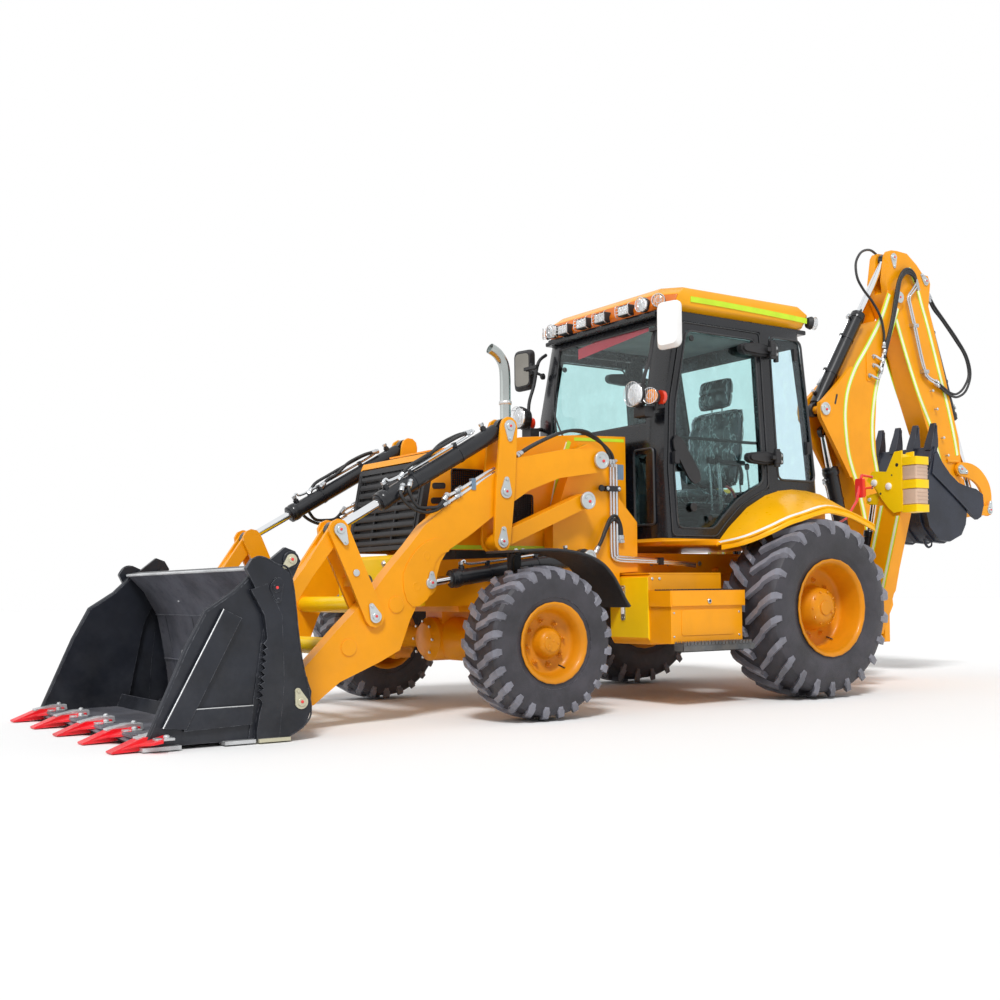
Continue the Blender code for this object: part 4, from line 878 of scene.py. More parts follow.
for label, side in bothSides():
    bm = bmesh.new()
    plate(bm, rounded(shifted(rearSide, 0.004), 0.05), *sided(side, 0.684, 0.689))
    emit(bm, f"side_window_{label}", "machine", paleGlass)
    bm = bmesh.new()
    plate(bm, [(side * x, z) for x, z in ((0.428, 1.178), (0.557, 1.178), (0.557, 1.662), (0.428, 1.662))],
          -1.072, -1.067, 0, "Y")
    emit(bm, f"low_window_{label}", "machine", doorGlass)
    bm = bmesh.new()
    plate(bm, rounded(shifted(doorOutline, -0.048), 0.05), *sided(side, 0.678, 0.683))
    emit(bm, f"door_window_{label}", f"door_{label}", doorGlass)

    # door seal, inner frame lip, handles and grab bar
    bm = bmesh.new()
    tube(bm, onSide(side * 0.702, rounded(shifted(doorOutline, -0.054), 0.05)), 0.007, 1, 6, 0, True)
    tube(bm, onSide(side * 0.703, rounded(shifted(doorOutline, -0.003), 0.03)), 0.005, 1, 6, 0, True)
    grab = [(side * 0.668, -0.93, 1.775), (side * 0.64, -0.9, 1.775), (side * 0.64, -0.52, 1.775),
            (side * 0.64, -0.18, 1.775), (side * 0.668, -0.145, 1.775)]
    tube(bm, grab, 0.011, 0, 8, 4)
    handle = [(-0.975, 1.735), (-0.955, 1.76), (-0.915, 1.74), (-0.765, 1.53), (-0.76, 1.485), (-0.8, 1.47),
              (-0.84, 1.5), (-0.968, 1.69)]
    plate(bm, rounded(handle, 0.02), *sided(side, 0.684, 0.712))
    plate(bm, rounded(shifted(handle, -0.014), 0.012), *sided(side, 0.708, 0.72))
    sideBox(bm, side, (0.7, 0.73), (-0.985, -0.945), (1.585, 1.665), 0.008)
    for y, z, size, tall in ((-0.8, 1.3, 0.03, 0.01), (-0.65, 1.23, 0.02, 0.008), (-0.8, 2.44, 0.02, 0.01)):
        button(bm, (side * cabSettings["doorFace"], y, z), (side, 0, 0), size, tall)
    emit(bm, f"door_trim_{label}", f"door_{label}", [trimBlack, sealRubber], 0.002)

    # two heavy hinges outside the door post, cast in ribs with their bolts
    bm = bmesh.new()
    doorPart = bmesh.new()
    for y, z, front in cabSettings["hinges"]:
        lathe(bm, [(z - 0.045, 0.024), (z - 0.041, 0.028), (z + 0.041, 0.028), (z + 0.045, 0.024)],
              (side * 0.775, y, 0), "Z", 0, 14)
        sideBox(bm, side, (0.7, 0.76), (y + 0.005, y + 0.075), (z - 0.04, z + 0.04), 0.012)
        for dy, dz in ((0.02, -0.022), (0.055, -0.022), (0.02, 0.022), (0.055, 0.022)):
            hexBolt(bm, (side * 0.76, y + dy, z + dz), (side, 0, 0), 0.008, 1)
        body = [(y - 0.006, z - 0.036), (y - 0.006, z + 0.036), (y - 0.1, z + 0.046),
                (front + 0.02, z + 0.03), (front, z + 0.012), (front, z - 0.02), (front + 0.03, z - 0.038),
                (y - 0.1, z - 0.046)]
        plate(doorPart, rounded(body, 0.01), *sided(side, 0.702, 0.745))
        plate(doorPart, rounded(shifted(body, -0.014), 0.008), *sided(side, 0.74, 0.762))
        lathe(doorPart, [(z - 0.062, 0.022), (z + 0.062, 0.022)], (side * 0.775, y - 0.004, 0), "Z", 0, 14)
        sideBox(doorPart, side, (0.74, 0.79), (y - 0.06, y - 0.01), (z - 0.014, z + 0.014), 0.006)
    emit(bm, f"hinge_posts_{label}", "machine", [trimBlack, zincSteel], 0.002)
    emit(doorPart, f"hinge_leaves_{label}", f"door_{label}", trimBlack, 0.002)

    # small latches on the rear side window
    bm = bmesh.new()
    for y, z in cabSettings["latches"]:
        sideBox(bm, side, (0.688, 0.712), (y - 0.016, y + 0.016), (z - 0.045, z + 0.045), 0.008)
    emit(bm, f"window_latches_{label}", "machine", trimBlack, 0.002)

bm = bmesh.new()
points = [(-0.33, -0.978, 2.52), (0.44, -0.966, 2.6), (0.449, -0.978, 2.514), (-0.316, -0.99, 2.44)]
skin(bm, [[Vector(p) + Vector((0, d, 0)) for p in points] for d in (0.022, 0.024)])
emit(bm, "screen_banner", "machine", bannerRed)

# wiper, parked low
bm = bmesh.new()
tube(bm, [(-0.3, -1.092, 1.85), (-0.33, -1.112, 1.875), (-0.42, -1.096, 1.99), (-0.49, -1.078, 2.1)],
     0.006, 0, 6, 4)
tube(bm, [(-0.44, -1.084, 1.9), (-0.49, -1.07, 2.11), (-0.52, -1.04, 2.28)], 0.007, 0, 6, 4)
lathe(bm, [(-1.115, 0.022), (-1.08, 0.026)], (-0.3, 0, 1.85), "Y", 0, 12)
emit(bm, "wiper", "machine", trimBlack)
print("cab glass and doors")

# roof lamps behind wire guards, round corner lamps, gutter and stripes
roofSettings = {"leds": ((-0.362, 2.66), (-0.142, 2.664), (0.067, 2.664), (0.325, 2.667)), "face": -1.046,
                "wire": 0.002, "frame": 0.0024}
bm = bmesh.new()
y, wire = roofSettings["face"], roofSettings["wire"]
for x, z in roofSettings["leds"]:
    roundedBox(bm, (x - 0.062, y - 0.03, z - 0.036), (x + 0.062, y + 0.03, z + 0.036), 0.01, 0, "Y")
    roundedBox(bm, (x - 0.054, y - 0.034, z - 0.029), (x + 0.054, y - 0.026, z + 0.029), 0.006, 2, "Y")
    for i in range(4):
        for j in range(2):
            lathe(bm, [(0.0, 0.011), (0.003, 0.01), (0.003, 0.006), (0.001, 0.004)],
                  (x - 0.039 + 0.026 * i, y - 0.033, z - 0.014 + 0.028 * j), "X", 2, 10, lineTurn((0, -1, 0)))
    for dx in (-0.066, 0.066):
        tube(bm, [(x + dx, y - 0.02, z - 0.045), (x + dx, y - 0.046, z - 0.03), (x + dx, y - 0.046, z + 0.03),
                  (x + dx, y - 0.02, z + 0.045)], 0.0028, 3, 6, 3)
    for dz in (-0.022, 0.0, 0.022):
        tube(bm, [(x - 0.066, y - 0.046, z + dz), (x + 0.066, y - 0.046, z + dz)], wire, 3, 6, 0)
    for dx in (-0.022, 0.022):
        tube(bm, [(x + dx, y - 0.046, z - 0.034), (x + dx, y - 0.046, z + 0.034)], wire, 3, 6, 0)
emit(bm, "roof_lamps", "machine", [trimBlack, whitePaint, lampSilver, pipeSteel], 0.0015)


def roundLamp(bm, at, direction, radius, depth, lens, bars=3):
    # a round lamp in a black shell, behind a ring guard with upright bars
    matrix = lineTurn(direction)
    at, ahead = Vector(at), Vector(direction).normalized()
    lathe(bm, [(-depth, radius * 0.45), (-depth * 0.75, radius * 0.85), (-depth * 0.2, radius * 1.05),
               (0.0, radius * 1.08), (0.004, radius * 1.02), (0.004, radius * 0.94)], at, "X", 0, 24, matrix)
    lathe(bm, [(0.0, radius * 0.95), (0.006, radius * 0.9), (0.012, radius * 0.6), (0.015, radius * 0.2)],
          at + ahead * 0.002, "X", lens, 24, matrix)
    front = at + ahead * 0.032
    u, v = matrix @ Vector((0, 1, 0)), matrix @ Vector((0, 0, 1))
    wire, frame = roofSettings["wire"], roofSettings["frame"]
    for reach, count, thick in ((1.05, 20, frame), (0.45, 16, wire)):
        tube(bm, [front + radius * reach * (math.cos(t) * u + math.sin(t) * v) for t in around(count)],
             thick, 3, 6, 0, True)
    for k in range(-bars, bars + 1):
        off = radius * 0.95 * k / (bars + 0.6)
        reach = math.sqrt(max(0.0, (radius * 1.05) ** 2 - off ** 2))
        tube(bm, [front + off * u - reach * v, front + off * u + reach * v], wire, 3, 6, 0)
    for t in (0.8, 2.35, 3.9, 5.5):
        rim = math.cos(t) * u + math.sin(t) * v
        tube(bm, [front + radius * 1.05 * rim, at + radius * 1.08 * rim], frame, 3, 6, 0)


bm = bmesh.new()
for side in (1, -1):
    roundLamp(bm, (side * 0.507, -1.052, 2.672), (0, -1, 0), 0.047, 0.05, 4)
    roundLamp(bm, (side * 0.628, -1.02, 2.68), (side * 0.62, -0.78, 0), 0.042, 0.04, 5)
    roundLamp(bm, (side * 0.69, 0.395, 2.68), (side * 0.35, 0.93, -0.05), 0.044, 0.04, 4)
emit(bm, "corner_lamps", "machine", [trimBlack, whitePaint, lampSilver, pipeSteel, lampSilver, amberLens])

bm = bmesh.new()
roundedBox(bm, (-0.6, -1.034, 2.588), (0.6, -0.975, 2.626), 0.012, 0)
for side in (1, -1):
    sideBox(bm, side, (0.6, 0.672), (-1.005, 0.36), (2.59, 2.622), 0.01)
emit(bm, "roof_gutter", "machine", cabBlack, 0.003)

bm = bmesh.new()
for side in (1, -1):
    strip(bm, [(-0.8, 2.706), (-0.5, 2.706), (-0.1, 2.7), (0.2, 2.692), (0.34, 2.686)],
          0.038, 0.6985, 0.004, 0, side)
emit(bm, "roof_stripes", "machine", limeTape)

# mirrors and head lamps on their brackets
mirrorSettings = {"turn": 24, "tall": 0.16, "places": ((1, (0.825, -1.105, 2.47), 0.084),
                                                        (-1, (-0.85, -1.07, 2.43), 0.086))}


def mirrorRing(shape, place, wide, high, depth):
    # the mirror's outline scaled, set back by a depth and turned on its stay
    matrix = Matrix.Rotation(math.radians(mirrorSettings["turn"]), 3, "Z")
    return [matrix @ Vector((a * wide, depth, b * high)) + Vector(place) for a, b in shape]


bm = bmesh.new()
for side, at, half in mirrorSettings["places"]:
    z, tall = at[2], mirrorSettings["tall"]
    shape = rounded([(-half, -tall), (half, -tall * 0.9), (half, tall), (-half, tall * 0.96)], 0.045, 4)
    skin(bm, [mirrorRing(shape, at, 0.8, 0.86, -0.045), mirrorRing(shape, at, 1, 1, -0.012),
              mirrorRing(shape, at, 1, 1, 0.006)], 0 if side > 0 else 1)
    if side < 0:
        skin(bm, [mirrorRing(shape, at, 0.7, 0.8, depth) for depth in (-0.044, -0.048)], 3)
    face = rounded([(-half * 0.92, -tall * 0.94), (half * 0.92, -tall * 0.84), (half * 0.92, tall * 0.94),
                    (-half * 0.92, tall * 0.9)], 0.04, 4)
    skin(bm, [mirrorRing(face, at, 1, 1, depth) for depth in (0.005, 0.008)], 2)
    root = (side * 0.69, -1.01, z - 0.06)
    tube(bm, [root, (side * 0.735, -1.045, z - 0.03), (side * 0.775, -1.075, z)], 0.011, 1, 8)
    button(bm, root, (side, -0.4, 0), 0.024, 0.025, 1)
    tube(bm, [(side * 0.672, -1.0, 2.53), (side * 0.655, -1.086, 2.461), (side * 0.655, -1.128, 2.289),
              (side * 0.65, -1.181, 2.139), (side * 0.64, -1.19, 1.965)], 0.013, 1, 8, 4)
    sideBox(bm, side, (0.64, 0.8), (-1.12, -1.1), (z - 0.012, z + 0.012), 0, 1)
    lathe(bm, [(z - 0.045, 0.018), (z + 0.045, 0.018)], (side * 0.772, -1.07, 0), "Z", 1, 12)
emit(bm, "mirrors", "machine", [whitePaint, trimBlack, mirrorFace, mirrorBack], 0.0015)

bm = bmesh.new()
for side in (1, -1):
    x = side * 0.64
    roundLamp(bm, (x, -1.245 if side > 0 else -1.275, 2.032), (0, -1, 0), 0.078, 0.09, 4, 4)
    roundLamp(bm, (side * 0.735, -1.19, 2.012), (side * 0.45, -0.89, 0), 0.05, 0.07, 5)
    lathe(bm, [(0.0, 0.046), (0.025, 0.046)], (side * 0.735, -1.118, 2.012), "Y", 6, 18)
    roundedBox(bm, (x - 0.055, -1.215, 1.885), (x + 0.055, -1.135, 1.955), 0.008)
    tube(bm, [(x, -1.15, 1.93), (x + side * 0.03, -1.11, 1.95), (side * 0.69, -1.045, 1.965)], 0.015, 0, 8)
    tube(bm, [(x, -1.19, 1.95), (x, -1.195, 1.99)], 0.012, 0, 8, 0)
    tube(bm, [(side * 0.7, -1.13, 1.93), (side * 0.73, -1.14, 1.975)], 0.01, 0, 8, 0)
emit(bm, "head_lamps", "machine", [trimBlack, whitePaint, lampSilver, pipeSteel, lampSilver, amberLens,
                                   redLens], 0.0015)
print("lamps and mirrors")

# loader arms: pins, retainers, crescent plates and cylinder fittings
loaderSettings = {"towerFace": 0.668, "weldRadius": 0.052, "tubePlugs": ((-3.065, 0.678), (-3.37, 0.444))}


def pinCap(bm, at, side, x, radius=0.043, tall=0.014, pale=0, red=1):
    # pale round pin end with a grease nipple and a red mark
    lathe(bm, [(0.0, radius), (tall, radius), (tall + 0.002, radius - 0.003), (tall + 0.002, radius * 0.7),
               (tall - 0.001, radius * 0.66)], (side * x, *at), "X", pale, 24, lineTurn((side, 0, 0)))
    button(bm, (side * (x + tall - 0.001), at[0] + radius * 0.18, at[1] - radius * 0.1),
           (side, 0, 0), 0.01, 0.007,
           red, 10)
    button(bm, (side * (x + tall), at[0] - radius * 0.35, at[1] + radius * 0.3), (side, 0, 0),
           0.005, 0.01, 2, 8)


def teardrop(bm, at, toward, side, x, big=0.04, small=0.017, reach=0.075, pale=0, red=1):
    # pin retainer: a silver drop-shaped plate held by a red-marked bolt
    direction = (Vector(toward) - Vector(at)).normalized()
    tip = Vector(at) + direction * reach
    angle = math.atan2(direction.y, direction.x)
    outline = []
    for centre, radius, start in ((tip, small, angle - math.pi / 2), (Vector(at), big, angle + math.pi / 2)):
        for k in range(9):
            t = start + math.pi * k / 8
            outline.append((centre.x + radius * math.cos(t), centre.y + radius * math.sin(t)))
    plate(bm, outline, *sided(side, x, x + 0.008), pale)
    button(bm, (side * (x + 0.007), at[0], at[1]), (side, 0, 0), big * 0.62, 0.008, pale, 20)
    button(bm, (side * (x + 0.014), at[0], at[1] + 0.002), (side, 0, 0), 0.008, 0.006, red, 10)
    hexBolt(bm, (side * (x + 0.007), tip.x, tip.y), (side, 0, 0), 0.009, pale, False)


capFinish = [paleWasher, lockRed, zincSteel]
retainers = {  # body, then for each plate its pin, the point that it aims at, face and sizes
    "rear_lever_pins": ("rear_levers", ((pins["tiltBase"], (-2.283, 1.6), 0.679),
                                        (pins["linkTop"], (-2.305, 1.5), 0.679),
                                        (pins["leverFoot"], (-2.33, 1.2), 0.679, 0.036))),
    "crowd_top_caps": ("lever_pins", ((pins["crowdTop"], (-3.36, 0.93), 0.69, 0.038),)),
    "crowd_low_caps": ("crowd_levers", ((pins["crowdFoot"], (-3.255, 0.7), 0.684, 0.036, 0.016, 0.065),)),
    "bucket_pin_caps": ("bucket_back", ((pins["bucketPivot"], (-3.66, 0.27), 0.684, 0.036, 0.016, 0.06),
                                        (pins["bucketEar"], (-3.78, 0.56), 0.679, 0.034, 0.015, 0.06))),
}
for label, side in bothSides():
    bm = bmesh.new()
    for pin, radius in (("towerTop", 0.056), ("towerMid", 0.056), ("liftBase", 0.046)):
        pinCap(bm, pins[pin], side, loaderSettings["towerFace"], radius)
    emit(bm, f"tower_pin_caps_{label}", "machine", capFinish, 0.001)
    for name, (body, plates) in retainers.items():
        bm = bmesh.new()
        for at, toward, x, *sizes in plates:
            teardrop(bm, at, toward, side, x, *sizes)
        if name == "crowd_low_caps":
            button(bm, (side * 0.683, -3.335, 0.86), (side, 0, 0), 0.02, 0.003)
        emit(bm, f"{name}_{label}", body, capFinish, 0.001)

    # raised crescent plate and weld bosses on the arm's outer face
    bm = bmesh.new()
    crescent = [(-2.739, 1.053), (-2.7, 1.01), (-2.712, 0.985), (-2.76, 0.972), (-2.802, 0.923),
                (-2.822, 0.86), (-2.826, 0.77), (-2.86, 0.705), (-2.915, 0.668), (-2.96, 0.665),
                (-2.995, 0.7), (-3.016, 0.762), (-3.02, 0.848), (-2.995, 0.905), (-2.957, 0.963),
                (-2.91, 1.01), (-2.869, 1.039), (-2.8, 1.062)]
    plate(bm, crescent, *sided(side, 0.649, 0.6565))
    for y, z, r in ((-2.93, 0.782, 0.028), (-2.863, 0.958, 0.026)):
        lathe(bm, [(0.6562, r), (0.658, r - 0.003), (0.6572, r - 0.01), (0.6568, r * 0.3)],
              (0, y, z), "X", 0, 20, mirrored(side))
    for at in loaderSettings["tubePlugs"]:
        button(bm, (side * 0.6535, *at), (side, 0, 0), 0.047, 0.003, 0, 20)
    pinCap(bm, pins["liftEye"], side, 0.656, 0.034, 0.01, 1, 2)
    teardrop(bm, pins["liftEye"], (-2.835, 0.88), side, 0.662, 0.03, 0.014, 0.055, 1, 2)
    emit(bm, f"arm_plates_{label}", "arms", [amberPaint, paleWasher, lockRed], 0.002)

# weld beads where the tubes and plates meet the arms
bm = bmesh.new()
radius = loaderSettings["weldRadius"]
for y, z in loaderSettings["tubePlugs"]:
    for x in (-0.548, 0.548):
        tube(bm, [(x, y + radius * math.cos(t), z + radius * math.sin(t)) for t in around(24)],
             0.005, 0, 6, 0, True)
emit(bm, "tube_welds", "arms", amberPaint)

# cylinder glands, ports and steel lines
cylinderSettings = {
    # body, pins at base and eye, tube length, tube radius, middle x, line side
    "lift": ("lift_barrels", "liftBase", "liftEye", 1.005, 0.05, (0.6, -0.6), 1),
    "tilt": ("tilt_barrels", "tiltBase", "crowdTop", 0.99, 0.05, (0.6, -0.6), 1),
    "boom": ("boom_barrel", "boomBase", "boomEye", 0.98, 0.062, (0.0,), -1),
    "dipper": ("dipper_barrel", "dipperBase", "dipperEye", 1.02, 0.056, (0.0,), 1),
    "bucket": ("bucket_barrel", "bucketBase", "bucketEye", 1.25, 0.052, (0.0,), 1),
}
for name, (body, base, eye, length, radius, middles, up) in cylinderSettings.items():
    bm = bmesh.new()
    direction = (Vector(pins[eye]) - Vector(pins[base])).normalized()
    normal = Vector((-direction.y, direction.x))
    if (normal.y < 0) == (up > 0):
        normal = -normal
    for x in middles:
        def at(run, off=0.0, dx=0.0):
            p = Vector(pins[base]) + direction * run + normal * off
            return (x + dx, p.x, p.y)
        axis3 = (0, direction.x, direction.y)
        up3 = (0, normal.x, normal.y)
        # wiper gland with its spanner flats, and a rolled band
        lathe(bm, [(0.0, radius * 0.93), (0.006, radius * 0.93), (0.01, radius * 0.8), (0.01, radius * 0.62)],
              at(length - 0.001), "X", 0, 20, lineTurn(axis3))
        lathe(bm, [(0.0, radius + 0.0055), (0.012, radius + 0.0075), (0.03, radius + 0.0075),
                   (0.036, radius + 0.0055)],
              at(length - 0.058), "X", 0, 24, lineTurn(axis3))
        for run in (0.13, length - 0.085):
            lathe(bm, [(0.0, 0.019), (0.02, 0.019), (0.02, 0.013), (0.034, 0.013)],
                  at(run, radius - 0.004), "X", 0,
                  12, lineTurn(up3))
            lathe(bm, [(0.0, 0.016), (0.016, 0.016)], at(run, radius + 0.026), "X", 1, 6, lineTurn(up3))
        # steel line from the far port back to the base end, in two clamps
        tube(bm, [at(length - 0.085, radius + 0.04), at(length - 0.11, radius + 0.046),
                  at(length - 0.16, radius + 0.022), at(length * 0.5, radius + 0.016),
                  at(0.26, radius + 0.016),
                  at(0.2, radius + 0.03, 0.012)], 0.0085, 2, 8, 5)
        for run in (length * 0.36, length * 0.72):
            lathe(bm, [(0.0, radius + 0.003), (0.016, radius + 0.003)], at(run), "X", 0, 20, lineTurn(axis3))
            bar = [Vector(at(run + a, b, c)) for c in (-0.014, 0.014)
                   for a, b in ((-0.002, radius - 0.002), (-0.002, radius + 0.026), (0.018, radius + 0.026),
                                (0.018, radius - 0.002))]
            skin(bm, [bar[:4], bar[4:]], 0)
    emit(bm, f"{name}_cylinder_fittings", body, [blackPaint, zincSteel, pipeSteel], 0.001)

# bucket: cutting edge, teeth, serrated joint, jaw stiffeners
bucketSettings = {"toothPitch": 0.473, "sawPitch": 0.034, "sawDepth": 0.02}
bm = bmesh.new()
for k in range(-2, 3):
    x = bucketSettings["toothPitch"] * k
    wing = [(x - 0.165, -4.585), (x - 0.15, -4.628), (x - 0.062, -4.672), (x - 0.034, -4.795),
            (x + 0.034, -4.795), (x + 0.062, -4.672), (x + 0.15, -4.628), (x + 0.165, -4.585),
            (x + 0.06, -4.545), (x - 0.06, -4.545)]
    skin(bm, [[(px, py, 0.056 - (-4.545 - py) * 0.2) for px, py in wing],
              [(px, py, 0.076 - (-4.545 - py) * 0.265) for px, py in wing]], 0)
    adapter = [(-4.478, 0.058), (-4.482, 0.09), (-4.56, 0.092), (-4.668, 0.07), (-4.668, 0.06),
               (-4.56, 0.058)]
    plate(bm, adapter, x - 0.034, x + 0.034, 1)
    for dx in (-0.105, 0.105):
        roundedBox(bm, (x + dx - 0.032, -4.61, 0.056), (x + dx + 0.032, -4.515, 0.068), 0.01, 1, "Z")
        button(bm, (x + dx, -4.55, 0.066), (0, 0, 1), 0.016, 0.014, 1, 12, 0.003)
    button(bm, (x, -4.52, 0.089), (0, 0, 1), 0.014, 0.012, 1, 12, 0.003)
emit(bm, "bucket_teeth", "clam", [toothRed, castSilver], 0.003)

bm = bmesh.new()
for k in range(4):
    x = -0.7095 + bucketSettings["toothPitch"] * k
    roundedBox(bm, (x - 0.075, -4.636, 0.05), (x + 0.075, -4.49, 0.064), 0.012, 0, "Z")
emit(bm, "edge_segments", "clam", bladeSteel, 0.002)

bm = bmesh.new()
for y, z in ((-3.912, 0.625), (-3.856, 0.345)):
    tube(bm, [(-0.955, y, z), (0.955, y, z)], 0.004, 0, 6, 0)
for x, y, z in ((-0.42, -3.955, 0.715), (0.42, -3.955, 0.715), (-0.62, -3.862, 0.4), (0.1, -3.862, 0.4),
                (0.62, -3.862, 0.4), (-0.3, -3.842, 0.24), (0.4, -3.842, 0.24)):
    button(bm, (x, y + 0.004, z), (0, -1, 0.25), 0.013, 0.007, 1, 12)
tube(bm, [(-0.962, -4.092, 0.874), (0.962, -4.092, 0.874)], 0.009, 1, 8, 0)
emit(bm, "blade_seams", "bucket_back", [bladeSteel, castSilver], 0.0)

for label, side in bothSides():
    # saw-toothed front edge of the rear section, with a backing strip behind the joint
    bm = bmesh.new()
    saw = [(-4.108, 0.77), (-4.036, 0.64), (-4.022, 0.52)]
    for k in range(9):
        z = 0.511 - bucketSettings["sawPitch"] * k
        y = -4.022 - 0.0034 * k
        saw += [(y - bucketSettings["sawDepth"], z - 0.013), (y, z - 0.034)]
    saw += [(-4.066, 0.15), (-4.082, 0.06), (-4.082, 0.018), (-3.96, 0.018), (-3.93, 0.3), (-3.94, 0.64),
            (-4.02, 0.8)]
    plate(bm, saw, *sided(side, 1.0, 1.0305))
    backing = [(-4.115, 0.025), (-4.075, 0.3), (-4.035, 0.56), (-3.96, 0.69), (-3.9, 0.56), (-3.93, 0.3),
               (-3.95, 0.025)]
    plate(bm, backing, *sided(side, 0.9965, 1.0005))
    rim = [(-4.128, 0.88), (-4.098, 0.922), (-4.048, 0.934), (-3.967, 0.897), (-3.888, 0.84), (-3.842, 0.459),
           (-3.784, 0.17), (-3.819, 0.079), (-3.908, 0.026)]
    tube(bm, onSide(side * 1.029, rim), 0.005, 0, 6, 4)
    for at, toward, mat in (((-3.973, 0.777), (-3.962, 0.7), 0), ((-3.84, 0.195), (-3.862, 0.26), 1)):
        teardrop(bm, at, toward, side, 1.03, 0.036, 0.016, 0.06, mat, 2)
    sideBox(bm, side, (0.958, 1.046), (-4.075, -3.905), (0.006, 0.024), 0, 1)
    emit(bm, f"rear_section_lip_{label}", "bucket_back", [bucketSteel, creamZinc, lockRed], 0.002)

    bm = bmesh.new()
    brace = [(-4.246, 0.675), (-4.152, 0.629), (-4.44, 0.095), (-4.555, 0.108)]
    plate(bm, brace, *sided(side, 0.994, 1.02))
    foot = [(-4.4, 0.19), (-4.092, 0.192), (-4.1, 0.097), (-4.452, 0.085)]
    plate(bm, foot, *sided(side, 0.994, 1.014))
    edge = [(-4.246, 0.675), (-4.555, 0.108)]
    tube(bm, onSide(side * 1.019, edge), 0.0035, 1, 6, 0)
    tube(bm, onSide(side * 1.013, foot[:2]), 0.003, 1, 6, 0)
    button(bm, (side * 0.994, *pins["jawPivot"]), (side, 0, 0), 0.045, 0.01, 0, 20)
    teardrop(bm, pins["jawPivot"], (-3.93, 0.87), side, 1.003, 0.03, 0.014, 0.05, 2, 3)
    sideBox(bm, side, (0.955, 1.035), (-4.66, -4.47), (0.004, 0.024), 0, 1)
    sideBox(bm, side, (0.955, 1.035), (-4.25, -4.088), (0.006, 0.024), 0, 1)
    front = [(-4.612, 0.05), (-4.42, 0.478), (-4.32, 0.66), (-4.168, 0.756), (-4.042, 0.874)]
    tube(bm, [(side * 0.979, y - 0.004, z + 0.003) for y, z in front], 0.0155, 0, 8, 0)
    emit(bm, f"jaw_stiffeners_{label}", "clam", [bucketSteel, castSilver, creamZinc, lockRed], 0.002)

    # jaw cylinders between the rear section's foot and the jaw's ear, inboard of the side plate
    bm = bmesh.new()
    x = side * 0.925
    low, high = Vector((x, -3.8, 0.3)), Vector((x, -3.88, 0.88))
    line = (high - low).normalized()
    lathe(bm, [(0.0, 0.032), (0.38, 0.032), (0.385, 0.036), (0.415, 0.036), (0.42, 0.026)], low, "X", 0, 18,
          lineTurn(line))
    lathe(bm, [(-0.03, 0.034), (0.03, 0.034)], low, "X", 0, 16)
    tube(bm, [low + line * 0.41, high], 0.017, 1, 12, 0)
    lathe(bm, [(-0.028, 0.032), (0.028, 0.032)], high, "X", 0, 16)
    emit(bm, f"jaw_cylinder_{label}", "bucket_back", [blackPaint, rodChrome], 0.001)

# rib lines behind the back plate, and the torque tube
bm = bmesh.new()
for x in (-0.8, -0.34, 0.0, 0.34, 0.8):
    rib = [(-3.905, 0.62), (-3.872, 0.46), (-3.845, 0.3), (-3.812, 0.18), (-3.78, 0.17), (-3.8, 0.32),
           (-3.828, 0.47), (-3.86, 0.64)]
    plate(bm, rib, x - 0.008, x + 0.008)
lathe(bm, [(-0.957, 0.038), (0.957, 0.038)], (0, -3.87, 0.055), "X", 0, 16)
emit(bm, "back_plate_ribs", "bucket_back", bucketSteel, 0.002)
print("loader dressed")

# bonnet: grille frame, side screens, slots, stripes and latches
bm = bmesh.new()
grilleLow, grilleHigh = (-2.812, 1.02), (-2.712, 1.535)


def onGrille(t, out=0.0):
    # a point up the sloping grille, standing out by a distance
    y = grilleLow[0] + (grilleHigh[0] - grilleLow[0]) * t
    z = grilleLow[1] + (grilleHigh[1] - grilleLow[1]) * t
    return y - out, z


def grilleBar(bm, bottom, top, outBottom, outTop, back, lo, hi):
    plate(bm, [onGrille(bottom, outBottom), onGrille(top, outTop), onGrille(top, back),
               onGrille(bottom, back)], lo, hi)


for k in range(9):
    y, z = onGrille(0.06 + 0.103 * k)
    slat = [(y + 0.03, z + 0.004), (y - 0.006, z - 0.012), (y - 0.01, z + 0.004), (y - 0.002, z + 0.024),
            (y + 0.03, z + 0.03)]
    plate(bm, rounded(slat, 0.004, 2), -0.385, 0.385)
for side in (1, -1):
    grilleBar(bm, -0.02, 1.0, 0.004, 0.004, -0.04, *sided(side, 0.38, 0.436))
    grilleBar(bm, 0.02, 0.98, 0.01, 0.01, 0.0, *sided(side, 0.39, 0.402))
grilleBar(bm, 0.955, 1.02, 0.01, 0.006, -0.04, -0.42, 0.42)
grilleBar(bm, -0.02, 0.035, 0.01, 0.01, -0.04, -0.42, 0.42)
for x in (-0.13, 0.13):
    grilleBar(bm, 0.02, 0.98, 0.006, 0.006, -0.02, x - 0.006, x + 0.006)
emit(bm, "grille", "hood", trimBlack, 0.0015)

